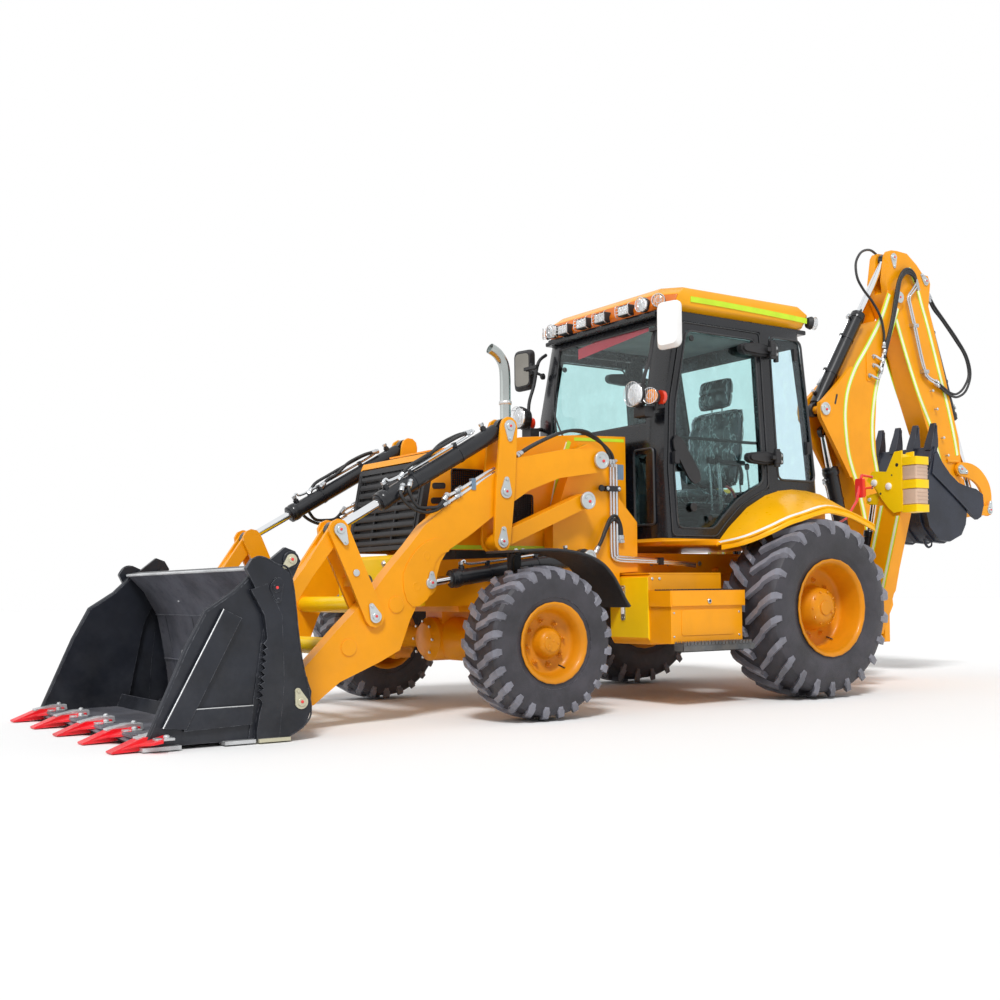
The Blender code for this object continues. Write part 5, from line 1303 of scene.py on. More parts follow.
# woven screens behind the side openings and dark oval slots
screenSettings = {"mesh": 0.014, "wire": 0.0016, "openings": ((-2.55, -2.31, 1.31, 1.5),
                                                              (-2.11, -1.94, 1.16, 1.36))}
pitch, wire = screenSettings["mesh"], screenSettings["wire"]
bm = bmesh.new()
for side in (1, -1):
    x = side * 0.428
    for y0, y1, z0, z1 in screenSettings["openings"]:
        for k in range(int((y1 - y0) / pitch)):
            y = y0 + pitch / 2 + pitch * k
            tube(bm, [(x, y, z0 - 0.004), (x, y, z1 + 0.004)], wire, 0, 5, 0)
        for k in range(int((z1 - z0) / pitch)):
            z = z0 + pitch / 2 + pitch * k
            tube(bm, [(x, y0 - 0.004, z), (x, y1 + 0.004, z)], wire, 0, 5, 0)
        edge = rounded([(y0, z0), (y1, z0), (y1, z1), (y0, z1)], 0.02)
        tube(bm, onSide(side * 0.4355, edge), 0.005, 0, 6, 0, True)
    for y, z in ((-2.64, 1.39), (-2.65, 1.3)):
        slot = rounded([(y - 0.045, z - 0.016), (y + 0.045, z - 0.012),
                        (y + 0.045, z + 0.02), (y - 0.045, z + 0.016)], 0.018, 4)
        plate(bm, slot, *sided(side, 0.43, 0.4365))
        tube(bm, onSide(side * 0.4365, slot), 0.003, 0, 6, 0, True)
    for y, z in ((-2.585, 1.12), (-1.3, 1.1)):
        sideBox(bm, side, (0.43, 0.447), (y - 0.03, y + 0.03), (z - 0.02, z + 0.02), 0.008)
emit(bm, "bonnet_screens", "hood", trimBlack)

stripes = (  # line, width, finish
    ([(-2.56, 1.022), (-2.2, 1.022), (-1.85, 1.022)], 0.026, 0),
    ([(-1.812, 1.11), (-1.775, 1.3), (-1.735, 1.48), (-1.64, 1.722)], 0.03, 0),
    ([(-1.834, 1.11), (-1.797, 1.3), (-1.757, 1.48), (-1.665, 1.715)], 0.008, 1),
    ([(-1.6, 1.738), (-1.4, 1.746), (-1.18, 1.752)], 0.022, 0),
)
bm = bmesh.new()
for side in (1, -1):
    for line, width, mat in stripes:
        strip(bm, line, width, 0.435, 0.0022, mat, side)
# raised centre panel of the bonnet
panel = [(-2.6, 1.618), (-2.36, 1.664), (-2.03, 1.724), (-1.62, 1.762), (-1.62, 1.77), (-2.03, 1.734),
         (-2.36, 1.674), (-2.6, 1.629)]
plate(bm, panel, -0.24, 0.24, 2)
emit(bm, "bonnet_stripes", "hood", [limeTape, paleTape, amberPaint], 0.0)

# exhaust: a smooth bent pipe open at its tip, with its clamp
stackSettings = {"x": 0.06, "outer": 0.0365, "inner": 0.0325, "foot": (0.06, -1.885, 0),
                 "clamps": (1.785, 1.99)}
stackLine = curvePoints(onSide(stackSettings["x"], [(-1.885, 1.752), (-1.885, 2.0), (-1.885, 2.18),
                                                    (-1.899, 2.265), (-1.944, 2.325), (-2.004, 2.356)]))
bm = bmesh.new()
rings = []
for path, radius in ((stackLine, stackSettings["outer"]), (stackLine[:-4:-1], stackSettings["inner"])):
    for p in path:
        k = stackLine.index(p)
        forward = (stackLine[min(len(stackLine) - 1, k + 1)] - stackLine[max(0, k - 1)]).normalized()
        up = forward.cross(Vector((1, 0, 0)))
        rings.append([p + radius * (math.cos(t) * Vector((1, 0, 0)) + math.sin(t) * up) for t in around(24)])
skin(bm, rings, 0)
for z in stackSettings["clamps"]:
    lathe(bm, [(z, 0.04), (z + 0.004, 0.043), (z + 0.02, 0.043), (z + 0.024, 0.04)],
          stackSettings["foot"], "Z", 1, 24)
    hexBolt(bm, (0.102, -1.885, z + 0.012), (1, 0, 0), 0.008, 1, False)
lathe(bm, [(1.752, 0.07), (1.76, 0.07), (1.77, 0.046), (1.775, 0.04)], stackSettings["foot"], "Z", 1, 24)
emit(bm, "exhaust_pipe", "hood", [stackChrome, castSilver], 0.0, 40, ["exhaust_stack"])

# front plate: tow eye and bolts, the plate in the painted sunlit copy of the amber
bm = bmesh.new()
roundedBox(bm, (-0.405, -2.892, 0.69), (0.405, -2.878, 0.955), 0.03, 0, "Y")
lathe(bm, [(-2.905, 0.055), (-2.89, 0.06)], (0, 0, 0.8), "Y", 1, 24)
lathe(bm, [(-2.925, 0.03), (-2.89, 0.034)], (0, 0, 0.8), "Y", 2, 20)
for x in (-0.34, -0.2, 0.2, 0.34):
    for z in (0.72, 0.925):
        hexBolt(bm, (x, -2.892, z), (0, -1, 0), 0.014, 2)
emit(bm, "front_plate", "machine", [paintedSunlitAmber, trimBlack, zincSteel], 0.002)

# tank and tool box: gauge, filler, seams, bolts, lock and tread
for label, side in bothSides():
    bm = bmesh.new()
    out = (side, 0, 0)
    if side > 0:
        roundedBox(bm, (0.536, -1.308, 0.55), (0.576, -1.2985, 0.78), 0.012, 1, "Y")
        roundedBox(bm, (0.545, -1.314, 0.59), (0.567, -1.307, 0.74), 0.006, 2, "Y")
        for z in (0.567, 0.763):
            hexBolt(bm, (0.556, -1.306, z), (0, -1, 0), 0.008, 1)
    else:
        lathe(bm, [(0.845, 0.055), (0.88, 0.055), (0.885, 0.06), (0.915, 0.06), (0.92, 0.05)],
              (-0.62, -0.98, 0), "Z", 3, 20)
    for y in (-1.262, -1.2):
        button(bm, (side * 0.797, y, 0.82), out, 0.01, 0.006, 1, 12)
    plate(bm, [(-1.272, 0.42), (-1.262, 0.42), (-1.262, 0.845), (-1.272, 0.845)],
          *sided(side, 0.797, 0.7995), 0)
    sideBox(bm, side, (0.46, 0.8), (-1.29, -0.655), (0.848, 0.858), 0, 0)
    # folded seam lines of the tool box and its base bolts
    sideBox(bm, side, (0.998, 1.004), (-1.2, -0.74), (0.455, 0.62), 0.02, 4)
    for y in (-1.26, -0.69):
        for z in (0.45, 0.6):
            button(bm, (side * 0.999, y, z), out, 0.007, 0.005, 1, 10)
    emit(bm, f"tank_fittings_{label}", "machine",
         [amberPaint, zincSteel, whitePaint, trimBlack, amberPaint], 0.0015)

    # open saw-tooth treads: the lower step and, on the right only, the box's top edge
    bm = bmesh.new()
    for y0, y1, x0, x1, z in ((-1.285, -0.66, 0.83, 0.985, 0.742),
                              (-1.26, -0.64, 1.0, 1.085, 0.405))[side > 0:]:
        for k in range(int((y1 - y0) / 0.03)):
            y = y0 + 0.03 * k
            for x in (x0, x1):
                tooth = [(y, z - 0.012), (y + 0.024, z - 0.012), (y + 0.02, z + 0.016), (y + 0.01, z + 0.002),
                         (y + 0.004, z + 0.016)]
                plate(bm, tooth, *sided(side, x - 0.004, x + 0.004))
            sideBox(bm, side, (x0, x1), (y + 0.002, y + 0.008), (z - 0.01, z + 0.004))
        for x in (x0, x1):
            sideBox(bm, side, (x - 0.004, x + 0.004), (y0, y1), (z - 0.045, z - 0.01))
        for y in (y0, y1 - 0.006):
            sideBox(bm, side, (x0, x1), (y, y + 0.006), (z - 0.045, z - 0.008))
    emit(bm, f"step_treads_{label}", "machine", castGrey)

bm = bmesh.new()
for k in range(20):
    y = -1.285 + 0.0315 * k
    for x in (0.85, 0.99):
        plate(bm, [(y, 0.74), (y + 0.024, 0.74), (y + 0.02, 0.752), (y + 0.012, 0.744), (y + 0.004, 0.752)],
              x - 0.004, x + 0.004, 0)
    box(bm, (0.846, y + 0.002, 0.7415), (0.994, y + 0.008, 0.7465), 0)
# the lid's front lip and a round lock
roundedBox(bm, (1.013, -1.29, 0.644), (1.018, -0.655, 0.735), 0.012, 1)
button(bm, (1.018, -0.972, 0.672), (1, 0, 0), 0.016, 0.008, 2, 20)
button(bm, (1.025, -0.972, 0.672), (1, 0, 0), 0.008, 0.004, 0, 12)
emit(bm, "tool_box_tread", "lid", [trimBlack, amberPaint, zincSteel], 0.001)

# fenders: pale edge stripe and folded lip, the lip beads in the painted sunlit fender amber
fenderEdge = [(0.745, -0.585, 1.058), (0.92, -0.54, 1.088), (1.04, -0.43, 1.151), (1.09, -0.301, 1.212),
              (1.13, -0.21, 1.244), (1.15, 0.02, 1.3), (1.15, 0.25, 1.27), (1.15, 0.45, 1.205),
              (1.15, 0.5, 1.185)]
bm = bmesh.new()
for side in (1, -1):
    edge = curvePoints([(side * x, y, z) for x, y, z in fenderEdge], 4)
    inward, up = Vector((-side * 0.03, 0, 0.012)), Vector((0, 0, 0.0035))
    skin(bm, [[p + up, p + inward + up, p + inward - up * 0.5, p - up * 0.5] for p in edge])
    tube(bm, [p + Vector((0, 0, -0.04)) for p in edge], 0.006, 1, 6, 0)
    tube(bm, [p + Vector((-side * 0.004, 0, 0)) for p in edge], 0.0065, 1, 6, 0)
emit(bm, "fender_edges", "machine", [whitePaint, sunlitFenderAmber])

# rail and axle details under the cab
bm = bmesh.new()
for side in (1, -1):
    for y in (-1.05, -0.9, -0.75, -0.6, -0.45):
        hexBolt(bm, (side * 0.381, y, 0.93), (side, 0, 0), 0.012, 1)
    sideBox(bm, side, (0.3, 0.44), (-0.33, 0.33), (0.86, 0.9), 0.02, 0)
    lathe(bm, [(0.26, 0.12), (0.3, 0.135), (0.315, 0.135), (0.33, 0.118)], (0, 0, 0.613), "X", 0, 28,
          mirrored(side))
    for t in around(10):
        hexBolt(bm, (side * 0.33, 0.122 * math.cos(t), 0.613 + 0.122 * math.sin(t)), (side, 0, 0),
                0.009, 1, False)
lathe(bm, [(-0.3, 0.05), (-0.24, 0.11), (-0.2, 0.16), (-0.18, 0.16)], (0, 0, 0.613), "Y", 0, 24)
tube(bm, [(0.0, -0.28, 0.615), (0.0, -0.9, 0.64)], 0.036, 2, 12, 0)
tube(bm, [(0.0, -2.12, 0.47), (0.0, -1.35, 0.56)], 0.03, 2, 12, 0)
roundedBox(bm, (-0.22, -1.33, 0.46), (0.22, -0.88, 0.86), 0.05, 2)
lathe(bm, [(-2.13, 0.11), (-2.16, 0.14), (-2.46, 0.14), (-2.5, 0.1), (-2.51, 0.05)], (0, 0, 0.449), "Y", 0,
      24)
for t in around(8):
    hexBolt(bm, (0.115 * math.cos(t), -2.5, 0.449 + 0.115 * math.sin(t)), (0, -1, 0), 0.01, 1, False)
emit(bm, "drive_line", "machine", [amberPaint, zincSteel, castGrey], 0.002)

# steering ram, tie rod ends and axle trunnion bolts
bm = bmesh.new()
for side in (1, -1):
    tube(bm, [(side * 0.14, -2.16, 0.47), (side * 0.4, -2.16, 0.47)], 0.026, 0, 12, 0)
    tube(bm, [(side * 0.4, -2.16, 0.47), (side * 0.6, -2.175, 0.46)], 0.013, 1, 10, 0)
    for y in (-2.395, -2.22):
        hexBolt(bm, (side * 0.07, y, 0.6245), (0, 0, 1), 0.012, 1)
    sideBox(bm, side, (0.6, 0.64), (-2.385, -2.231), (0.33, 0.56), 0.02, 2)
emit(bm, "steering_gear", "machine", [blackPaint, rodChrome, amberPaint], 0.002)

# beads along the front mudguards, their stays and bolts
mudguardEdge = [(-2.515, 0.976), (-2.3, 0.986), (-2.13, 0.976), (-2.0, 0.948), (-1.9, 0.899), (-1.82, 0.819),
                (-1.74, 0.694), (-1.705, 0.649)]
bm = bmesh.new()
for side in (1, -1):
    for x in (0.762, 1.098):
        tube(bm, onSide(side * x, mudguardEdge), 0.009, 0, 6, 3)
    tube(bm, [(side * 0.75, -2.308, 0.62), (side * 0.78, -2.35, 0.93), (side * 0.86, -2.36, 0.975)],
         0.016, 0, 8, 4)
    for y, z in ((-2.33, 0.993), (-2.28, 0.993)):
        hexBolt(bm, (side * 0.8, y, z), (0, 0, 1), 0.01, 1)
emit(bm, "mudguard_edges", "machine", [trimBlack, zincSteel])
print("chassis dressed")

# seat: crowned cushions with seams, their finish drawn as a creased clear wrap
seatSettings = {  # centre, half sizes, lean, sewn channels, fill, replaced nodes
    "cushion": ((0.0, -0.205, 1.432), (0.245, 0.205, 0.062), 4, [(-0.45, "u"), (0.45, "u"), (0.1, "v")],
                0.7, ["seat"]),
    "back": ((0.0, 0.08, 1.8), (0.272, 0.088, 0.3), -8,
             [(-0.5, "u"), (0.5, "u"), (-0.35, "v"), (0.15, "v"), (0.6, "v")], 0.7, []),
    "head": ((0.0, 0.1, 2.225), (0.155, 0.07, 0.112), -8, [(0.0, "v")], 0.8, []),
}
wrapVinyl = finishOf("wrapVinyl", (0.05, 0.07, 0.076), 0.2, coat=0.6, tone=0.35, grain=0.05,
                     patch=0.4, shine=0.7)
creaseTree = wrapVinyl.node_tree
creaseCoords = creaseTree.nodes.new("ShaderNodeTexCoord")
stretch = creaseTree.nodes.new("ShaderNodeMapping")
stretch.inputs["Scale"].default_value = (9.0, 6.0, 3.0)
creaseTree.links.new(creaseCoords.outputs["Object"], stretch.inputs["Vector"])
crease = noiseNode(creaseTree, stretch.outputs["Vector"], 1.0, 5.0, 0.6)
foldBump = creaseTree.nodes.new("ShaderNodeBump")
foldBump.inputs["Strength"].default_value = 0.9
foldBump.inputs["Distance"].default_value = 0.05
creaseTree.links.new(crease, foldBump.inputs["Height"])
creaseTree.links.new(foldBump.outputs["Normal"], creaseTree.nodes["Principled BSDF"].inputs["Normal"])
creaseTree.links.new(rampNode(creaseTree, crease, 0.3, 0.72),
                     creaseTree.nodes["Principled BSDF"].inputs["Coat Weight"])
# bright glints of the wrap along its sharpest folds
fold = mathNode(creaseTree, "ABSOLUTE", mathNode(creaseTree, "SUBTRACT", crease, 0.5), 0.0)
glint = rampNode(creaseTree, fold, 0.022, 0.0)
wrapBody = creaseTree.nodes["Principled BSDF"].inputs["Base Color"]
creaseTree.links.new(mixColours(creaseTree, glint, wrapBody.links[0].from_socket, (0.55, 0.62, 0.63)),
                     wrapBody)


def padPoint(centre, half, lean, u, v, height=0.0):
    # a point of a pad by its two wide directions and its thin one
    thin = min(range(3), key=lambda i: half[i])
    first, second = [i for i in range(3) if i != thin]
    p = [0.0, 0.0, 0.0]
    p[first], p[second], p[thin] = u * half[first], v * half[second], height * half[thin]
    return Matrix.Rotation(math.radians(lean), 3, "X") @ Vector(p) + Vector(centre)


def cushionMesh(bm, centre, half, lean, channels, crown=0.3, steps=16):
    # a closed pad: full in the middle, pulled in at its edges and along its sewn channels
    grid = {}
    for face in (1, -1):
        for i in range(steps + 1):
            for j in range(steps + 1):
                u, v = -1 + 2 * i / steps, -1 + 2 * j / steps
                edgeOn = i in (0, steps) or j in (0, steps)
                if edgeOn and face < 0:
                    grid[face, i, j] = grid[1, i, j]
                    continue
                pull = 1 - 0.045 * (u * u * v * v)
                full = (1 - abs(u) ** 5) * (1 - abs(v) ** 5)
                rise = (1 - crown) * full ** 0.35 + crown * full * (1 - 0.4 * u * u - 0.3 * v * v)
                height = 0.0 if edgeOn else rise
                for line, along in channels:
                    gap = abs((u if along == "u" else v) - line)
                    height *= 1 - 0.3 * math.exp(-(gap / 0.055) ** 2)
                grid[face, i, j] = bm.verts.new(padPoint(centre, half, lean, u * pull, v * pull,
                                                         face * height))
    for face in (1, -1):
        for i in range(steps):
            for j in range(steps):
                bm.faces.new([grid[face, a, b] for a, b in ((i, j), (i + 1, j), (i + 1, j + 1), (i, j + 1))])


def seam(bm, centre, half, lean):
    # a welt around a pad's edge, squarer than a circle
    squared = [[0.985 * math.copysign(abs(c) ** 0.28, c) for c in (math.cos(t),
                                                                   math.sin(t))] for t in around(48)]
    tube(bm, [padPoint(centre, half, lean, u, v) for u, v in squared], 0.0055, 1, 6, 0, True)


for part, (centre, half, lean, channels, fill, swaps) in seatSettings.items():
    bm = bmesh.new()
    cushionMesh(bm, centre, half, lean, channels)
    seam(bm, centre, half, lean)
    pad = emit(bm, f"seat_{part}", "machine", [wrapVinyl, trimBlack], 0.0, 70, swaps)

# pan, suspension bellows, slides, head bars, arm rests and a red tag
bm = bmesh.new()
roundedBox(bm, (-0.235, -0.405, 1.345), (0.235, 0.075, 1.372), 0.03, 0, "Z")
bellowsAt = (1.13, 1.155, 1.18, 1.205, 1.23, 1.255, 1.28, 1.31)
bellows = [(z, 0.16 if k % 2 else 0.185) for k, z in enumerate(bellowsAt)]
lathe(bm, [(1.092, 0.165), *bellows, (1.346, 0.17)], (0, -0.1, 0), "Z", 0, 24)
for x in (-0.19, 0.19):
    box(bm, (x - 0.02, -0.36, 1.372), (x + 0.02, 0.06, 1.384), 1)
for x in (-0.055, 0.055):
    tube(bm, [(x, 0.112, 2.07), (x, 0.11, 2.15)], 0.007, 1, 8, 0)
for x in (-0.275, 0.275):
    roundedBox(bm, (x - 0.026, -0.25, 1.66), (x + 0.026, 0.1, 1.694), 0.012, 0, "X")
    tube(bm, [(x * 0.93, 0.1, 1.52), (x, 0.085, 1.6), (x, 0.06, 1.665)], 0.014, 0, 8)
roundedBox(bm, (0.236, 0.075, 1.83), (0.241, 0.11, 1.905), 0.006, 2)
tube(bm, [(0.245, 0.06, 1.4), (0.262, 0.0, 1.47), (0.25, -0.05, 1.505)], 0.01, 2, 8)
emit(bm, "seat_frame", "machine", [trimBlack, zincSteel, lockRed], 0.002)

# steering wheel, dash, levers, pedals and floor mat
bm = bmesh.new()
wheelSettings = {"hub": (0, -0.705, 1.79), "lean": -36, "rim": 0.185, "spoke": 0.182, "knob": 0.13}
tilted = Matrix.Rotation(math.radians(wheelSettings["lean"]), 3, "X")


def onWheel(x, y, z=0.0):
    return Vector(wheelSettings["hub"]) + tilted @ Vector((x, y, z))


rim, spoke, knob = (wheelSettings[k] for k in ("rim", "spoke", "knob"))
tube(bm, [onWheel(rim * math.cos(t), rim * math.sin(t)) for t in around(40)], 0.013, 0, 8, 0, True)
for t in around(3, 0.25):
    tube(bm, [onWheel(0, 0, -0.02), onWheel(spoke * math.cos(t), spoke * math.sin(t))], 0.01, 0, 8, 0)
lathe(bm, [(-0.045, 0.032), (-0.01, 0.045), (0.006, 0.04), (0.01, 0.02)], wheelSettings["hub"], "Z", 0, 20,
      tilted)
tube(bm, [onWheel(knob, knob, 0.01), onWheel(knob, knob, 0.055)], 0.016, 0, 10, 0)
roundedBox(bm, (-0.2, -0.99, 1.715), (0.2, -0.84, 1.8), 0.03, 0, "Y")
for x in (-0.11, -0.03, 0.05, 0.12):
    button(bm, (x, -0.838, 1.76), (0, 1, 0.2), 0.026, 0.006, 1, 20)
    button(bm, (x, -0.832, 1.761), (0, 1, 0.2), 0.022, 0.003, 2, 20)
for x, lean in ((0.16, 0.1), (-0.16, -0.1)):
    tube(bm, [(x * 0.7, -0.72, 1.69), (x + lean, -0.66, 1.74)], 0.006, 0, 8, 0)
    button(bm, (x + lean, -0.66, 1.735), (0, 0.3, 1), 0.013, 0.03, 0, 12)
for x, y in ((0.36, -0.3), (0.36, -0.22), (0.42, -0.26), (-0.14, 0.31), (-0.05, 0.31), (0.05, 0.31),
             (0.14, 0.31)):
    tube(bm, [(x, y, 1.28), (x, y - 0.01, 1.5), (x, y - 0.03, 1.66)], 0.007, 1, 8)
    lathe(bm, [(0.0, 0.012), (0.015, 0.019), (0.035, 0.019), (0.048, 0.01)], (x, y - 0.03, 1.65), "Z", 0, 12)
    lathe(bm, [(0.0, 0.034), (0.02, 0.026), (0.04, 0.014)], (x, y, 1.275), "Z", 0, 12)
roundedBox(bm, (0.31, -0.4, 1.085), (0.47, 0.02, 1.28), 0.03, 0, "Y")
roundedBox(bm, (-0.22, 0.24, 1.085), (0.22, 0.37, 1.28), 0.03, 0, "X")
for x in (-0.24, 0.2, 0.3):
    roundedBox(bm, (x - 0.035, -0.8, 1.125), (x + 0.035, -0.785, 1.215), 0.01, 0, "Y")
    tube(bm, [(x, -0.795, 1.17), (x, -0.9, 1.2), (x, -0.93, 1.1)], 0.008, 1, 8)
for k in range(18):
    for x in (-0.52, 0.24):
        box(bm, (x, -0.62 + 0.03 * k, 1.0925), (x + 0.28, -0.605 + 0.03 * k, 1.0965), 0)
emit(bm, "cab_controls", "machine", [trimBlack, zincSteel, lampGlass], 0.0015)
print("seat and cab dressed")

# digger: stripes, pins, pipes, rocker plates, bucket caps and ear plates
boomFront = [(2.01, 3.215), (1.895, 2.989), (1.721, 2.749), (1.566, 2.552), (1.467, 2.363), (1.43, 2.18),
             (1.436, 2.01), (1.462, 1.846), (1.508, 1.718), (1.58, 1.56), (1.65, 1.33), (1.725, 1.06),
             (1.775, 0.8)]
boomRear = [(2.117, 3.108), (2.03, 2.92), (1.945, 2.736), (1.869, 2.544), (1.809, 2.373), (1.771, 2.187),
            (1.76, 2.04), (1.768, 1.903), (1.797, 1.772), (1.85, 1.56), (1.93, 1.28), (2.01, 1.02)]
dipperInner = [(2.121, 3.019), (2.244, 2.732), (2.383, 2.442), (2.47, 2.29), (2.56, 2.14), (2.66, 1.9),
               (2.745, 1.68)]
dipperOuter = [(2.3, 3.48), (2.393, 3.355), (2.47, 3.17), (2.548, 2.992), (2.69, 2.622), (2.804, 2.322),
               (2.89, 2.05), (2.925, 1.905)]


def smoothLine(points, per=5):
    return [(p.x, p.y) for p in curvePoints([(*q, 0.0) for q in points], per)]


# a pale band with lime borders along each edge of the boom and the dipper
stripeSettings = {"width": 0.044, "paleShare": 0.52, "limeProud": 0.0022, "paleProud": 0.0034}
for name, lines, x in (("boom", (boomFront, boomRear), 0.121), ("dipper", (dipperInner, dipperOuter), 0.1)):
    bm = bmesh.new()
    for side in (1, -1):
        for line in map(smoothLine, lines):
            strip(bm, line, stripeSettings["width"], x, stripeSettings["limeProud"], 1, side)
            strip(bm, line, stripeSettings["width"] * stripeSettings["paleShare"], x,
                  stripeSettings["paleProud"], 0, side)
    emit(bm, f"{name}_stripes", name, [paleTape, limeTape])

digFinish = [paleWasher, lockRed, zincSteel, amberPaint, hoseRubber, pipeSteel]
bm = bmesh.new()
for side in (1, -1):
    pinCap(bm, pins["dipperBase"], side, 0.1205, 0.052, 0.012)
    button(bm, (side * 0.168, *pins["boomFoot"]), (side, 0, 0), 0.048, 0.003, 0, 24)
    lathe(bm, [(0.131, 0.048), (0.14, 0.048), (0.143, 0.044)], (0, *pins["dipperPivot"]), "X", 0, 24,
          mirrored(side))
    button(bm, (side * 0.142, *pins["dipperPivot"]), (side, 0, 0), 0.009, 0.005, 1, 10)
    slot = [(1.3, 2.235), (1.318, 2.23), (1.345, 2.315), (1.327, 2.32)]
    plate(bm, rounded(slot, 0.008), *sided(side, 0.1195, 0.1222), 4)
# valve elbows standing off the boom's side
for y, z, drop in ((1.79, 2.665, 0.0), (1.788, 2.59, 0.012), (1.735, 2.5, 0.024)):
    tube(bm, [(0.122, y - 0.005, z), (0.146, y, z), (0.15, y + 0.03, z - 0.012),
              (0.147, 1.862 - drop * 1.5, z - 0.018), (0.146, 1.893 - drop * 1.8, z + 0.035)],
         0.0105, 5, 10, 5)
    lathe(bm, [(0.1195, 0.02), (0.136, 0.02)], (0, y - 0.005, z), "X", 2, 6)
roundedBox(bm, (0.1195, 1.7, 2.455), (0.126, 1.815, 2.705), 0.02, 3)
emit(bm, "boom_fittings", "boom", digFinish, 0.0)

bm = bmesh.new()
for side in (1, -1):
    teardrop(bm, pins["dipperEye"], (2.112, 3.4), side, 0.1, 0.038, 0.017, 0.072)
    teardrop(bm, pins["bucketBase"], (2.44, 3.47), side, 0.1, 0.036, 0.016, 0.07)
    teardrop(bm, pins["diggerPivot"], (2.8, 1.66), side, 0.1355, 0.03, 0.014, 0.055)
    for y, z in ((2.564, 2.444), (2.62, 2.29), (2.705, 2.046), (2.762, 1.895)):
        tube(bm, [(side * 0.099, y, z), (side * 0.132, y, z)], 0.007, 2, 8, 0)
        button(bm, (side * 0.124, y, z), (side, 0, 0), 0.012, 0.012, 0, 10)
# two steel pipes on stand-off clamps down the left side
pipeRows = [(0.134, 2.355, 3.352, 0, 0.5, -1), (0.134, 2.3, 3.29, 0, 0.7, -0.5),
            (0.134, 2.236, 3.213, 0, 1, 0), (0.134, 2.256, 3.13, 0, 1, 0), (0.134, 2.312, 2.96, 0, 1, 0),
            (0.134, 2.378, 2.75, 0, 1, 0), (0.134, 2.432, 2.61, 0, 1, 0), (0.134, 2.485, 2.545, 0, 0.6, 0.5),
            (0.134, 2.613, 2.498, 0, 0, 1)]
for shift in (0.0, 0.027):
    tube(bm, route(pipeRows, shift), 0.0085, 5, 8, 5)
for y, z in ((2.308, 2.983), (2.438, 2.6)):
    roundedBox(bm, (0.099, y - 0.014, z - 0.016), (0.146, y + 0.056, z + 0.016), 0.006, 2, "X")
    hexBolt(bm, (0.146, y + 0.021, z), (1, 0, 0), 0.007, 2, False)
# lug under the dipper nose
roundedBox(bm, (-0.096, 2.775, 1.835), (0.115, 2.93, 1.862), 0.01, 3, "Y")
emit(bm, "dipper_fittings", "dipper", digFinish, 0.0015)

rockerPlate = smoothLine([(2.93, 1.722), (3.03, 1.712), (3.13, 1.68), (3.205, 1.625), (3.25, 1.55),
                          (3.262, 1.465), (3.268, 1.405), (3.31, 1.378), (3.352, 1.405), (3.372, 1.5),
                          (3.368, 1.6), (3.325, 1.695), (3.225, 1.785), (3.11, 1.832), (2.99, 1.845),
                          (2.905, 1.832), (2.872, 1.78), (2.888, 1.738)], 3)
bm = bmesh.new()
for side in (1, -1):
    plate(bm, rockerPlate, *sided(side, 0.106, 0.13), 3)
    teardrop(bm, pins["rockerPivot"], (3.03, 1.755), side, 0.13, 0.04, 0.018, 0.08)
    teardrop(bm, pins["bucketEye"], (3.325, 1.53), side, 0.152, 0.036, 0.016, 0.068)
tube(bm, [(x, *pins["rockerPivot"]) for x in (-0.128, 0.128)], 0.03, 2, 16, 0)
emit(bm, "rocker_plates", "rocker", digFinish, 0.003, 32, ["rocker"])
bm = bmesh.new()
for side in (1, -1):
    pinCap(bm, pins["linkFoot"], side, 0.152, 0.04, 0.01)
tube(bm, [(x, *pins["bucketEye"]) for x in (-0.16, 0.16)], 0.026, 2, 16, 0)
emit(bm, "link_pins", "bucket_link", digFinish, 0.001)

bm = bmesh.new()
earPlate = [(2.262, 1.7), (2.296, 1.862), (2.335, 1.885), (2.4, 1.795), (2.5, 1.705), (2.62, 1.632),
            (2.738, 1.607), (2.86, 1.59), (2.955, 1.545), (2.962, 1.45), (2.925, 1.35), (2.87, 1.325),
            (2.81, 1.352), (2.62, 1.478), (2.43, 1.598)]
for side in (1, -1):
    plate(bm, earPlate, *sided(side, 0.3, 0.332), 0)
    tube(bm, onSide(side * 0.331, [earPlate[0], *earPlate[:-4:-1]]), 0.006, 0, 6, 0)
toothParts = (  # holder and cap: rows of z, half width, front y, rear y and the rear edge's rise
    [(1.7, 0.026, 2.246, 2.262, 0.01), (1.74, 0.034, 2.23, 2.29, 0.01), (1.88, 0.032, 2.284, 2.35, 0.01),
     (1.925, 0.028, 2.296, 2.362, 0.0)],
    [(1.9, 0.034, 2.28, 2.368, 0.01), (1.935, 0.038, 2.286, 2.378, 0.0), (1.985, 0.036, 2.306, 2.382, 0.0),
     (2.06, 0.03, 2.334, 2.382, 0.0), (2.132, 0.022, 2.354, 2.38, 0.0)],
)
for k in range(4):
    x = -0.27 + 0.18 * k
    for rows in toothParts:
        skin(bm, [[(x - w, a, z), (x + w, a, z), (x + w, b, z + up), (x - w, b, z + up)]
                  for z, w, a, b, up in rows])
    tube(bm, [(x - 0.04, 2.33, 1.915), (x + 0.04, 2.33, 1.915)], 0.008, 1, 8, 0)
for x in (-0.24, -0.08, 0.08, 0.24):
    under = [(2.168, 1.39), (2.18, 1.3), (2.222, 1.235), (2.355, 1.126), (2.5, 1.116), (2.662, 1.178),
             (2.66, 1.192), (2.5, 1.132), (2.362, 1.142), (2.236, 1.248), (2.192, 1.31), (2.182, 1.39)]
    plate(bm, under, x - 0.022, x + 0.022, 0)
tube(bm, onSide(0.21, [(2.3, 1.15), (2.315, 1.112), (2.35, 1.085), (2.392, 1.098), (2.398, 1.128)]),
     0.012, 0, 8, 5, False, lambda t: 1.2 - 0.7 * t)
tube(bm, [(-0.32, 2.24, 1.7), (0.32, 2.24, 1.7)], 0.006, 0, 6, 0)
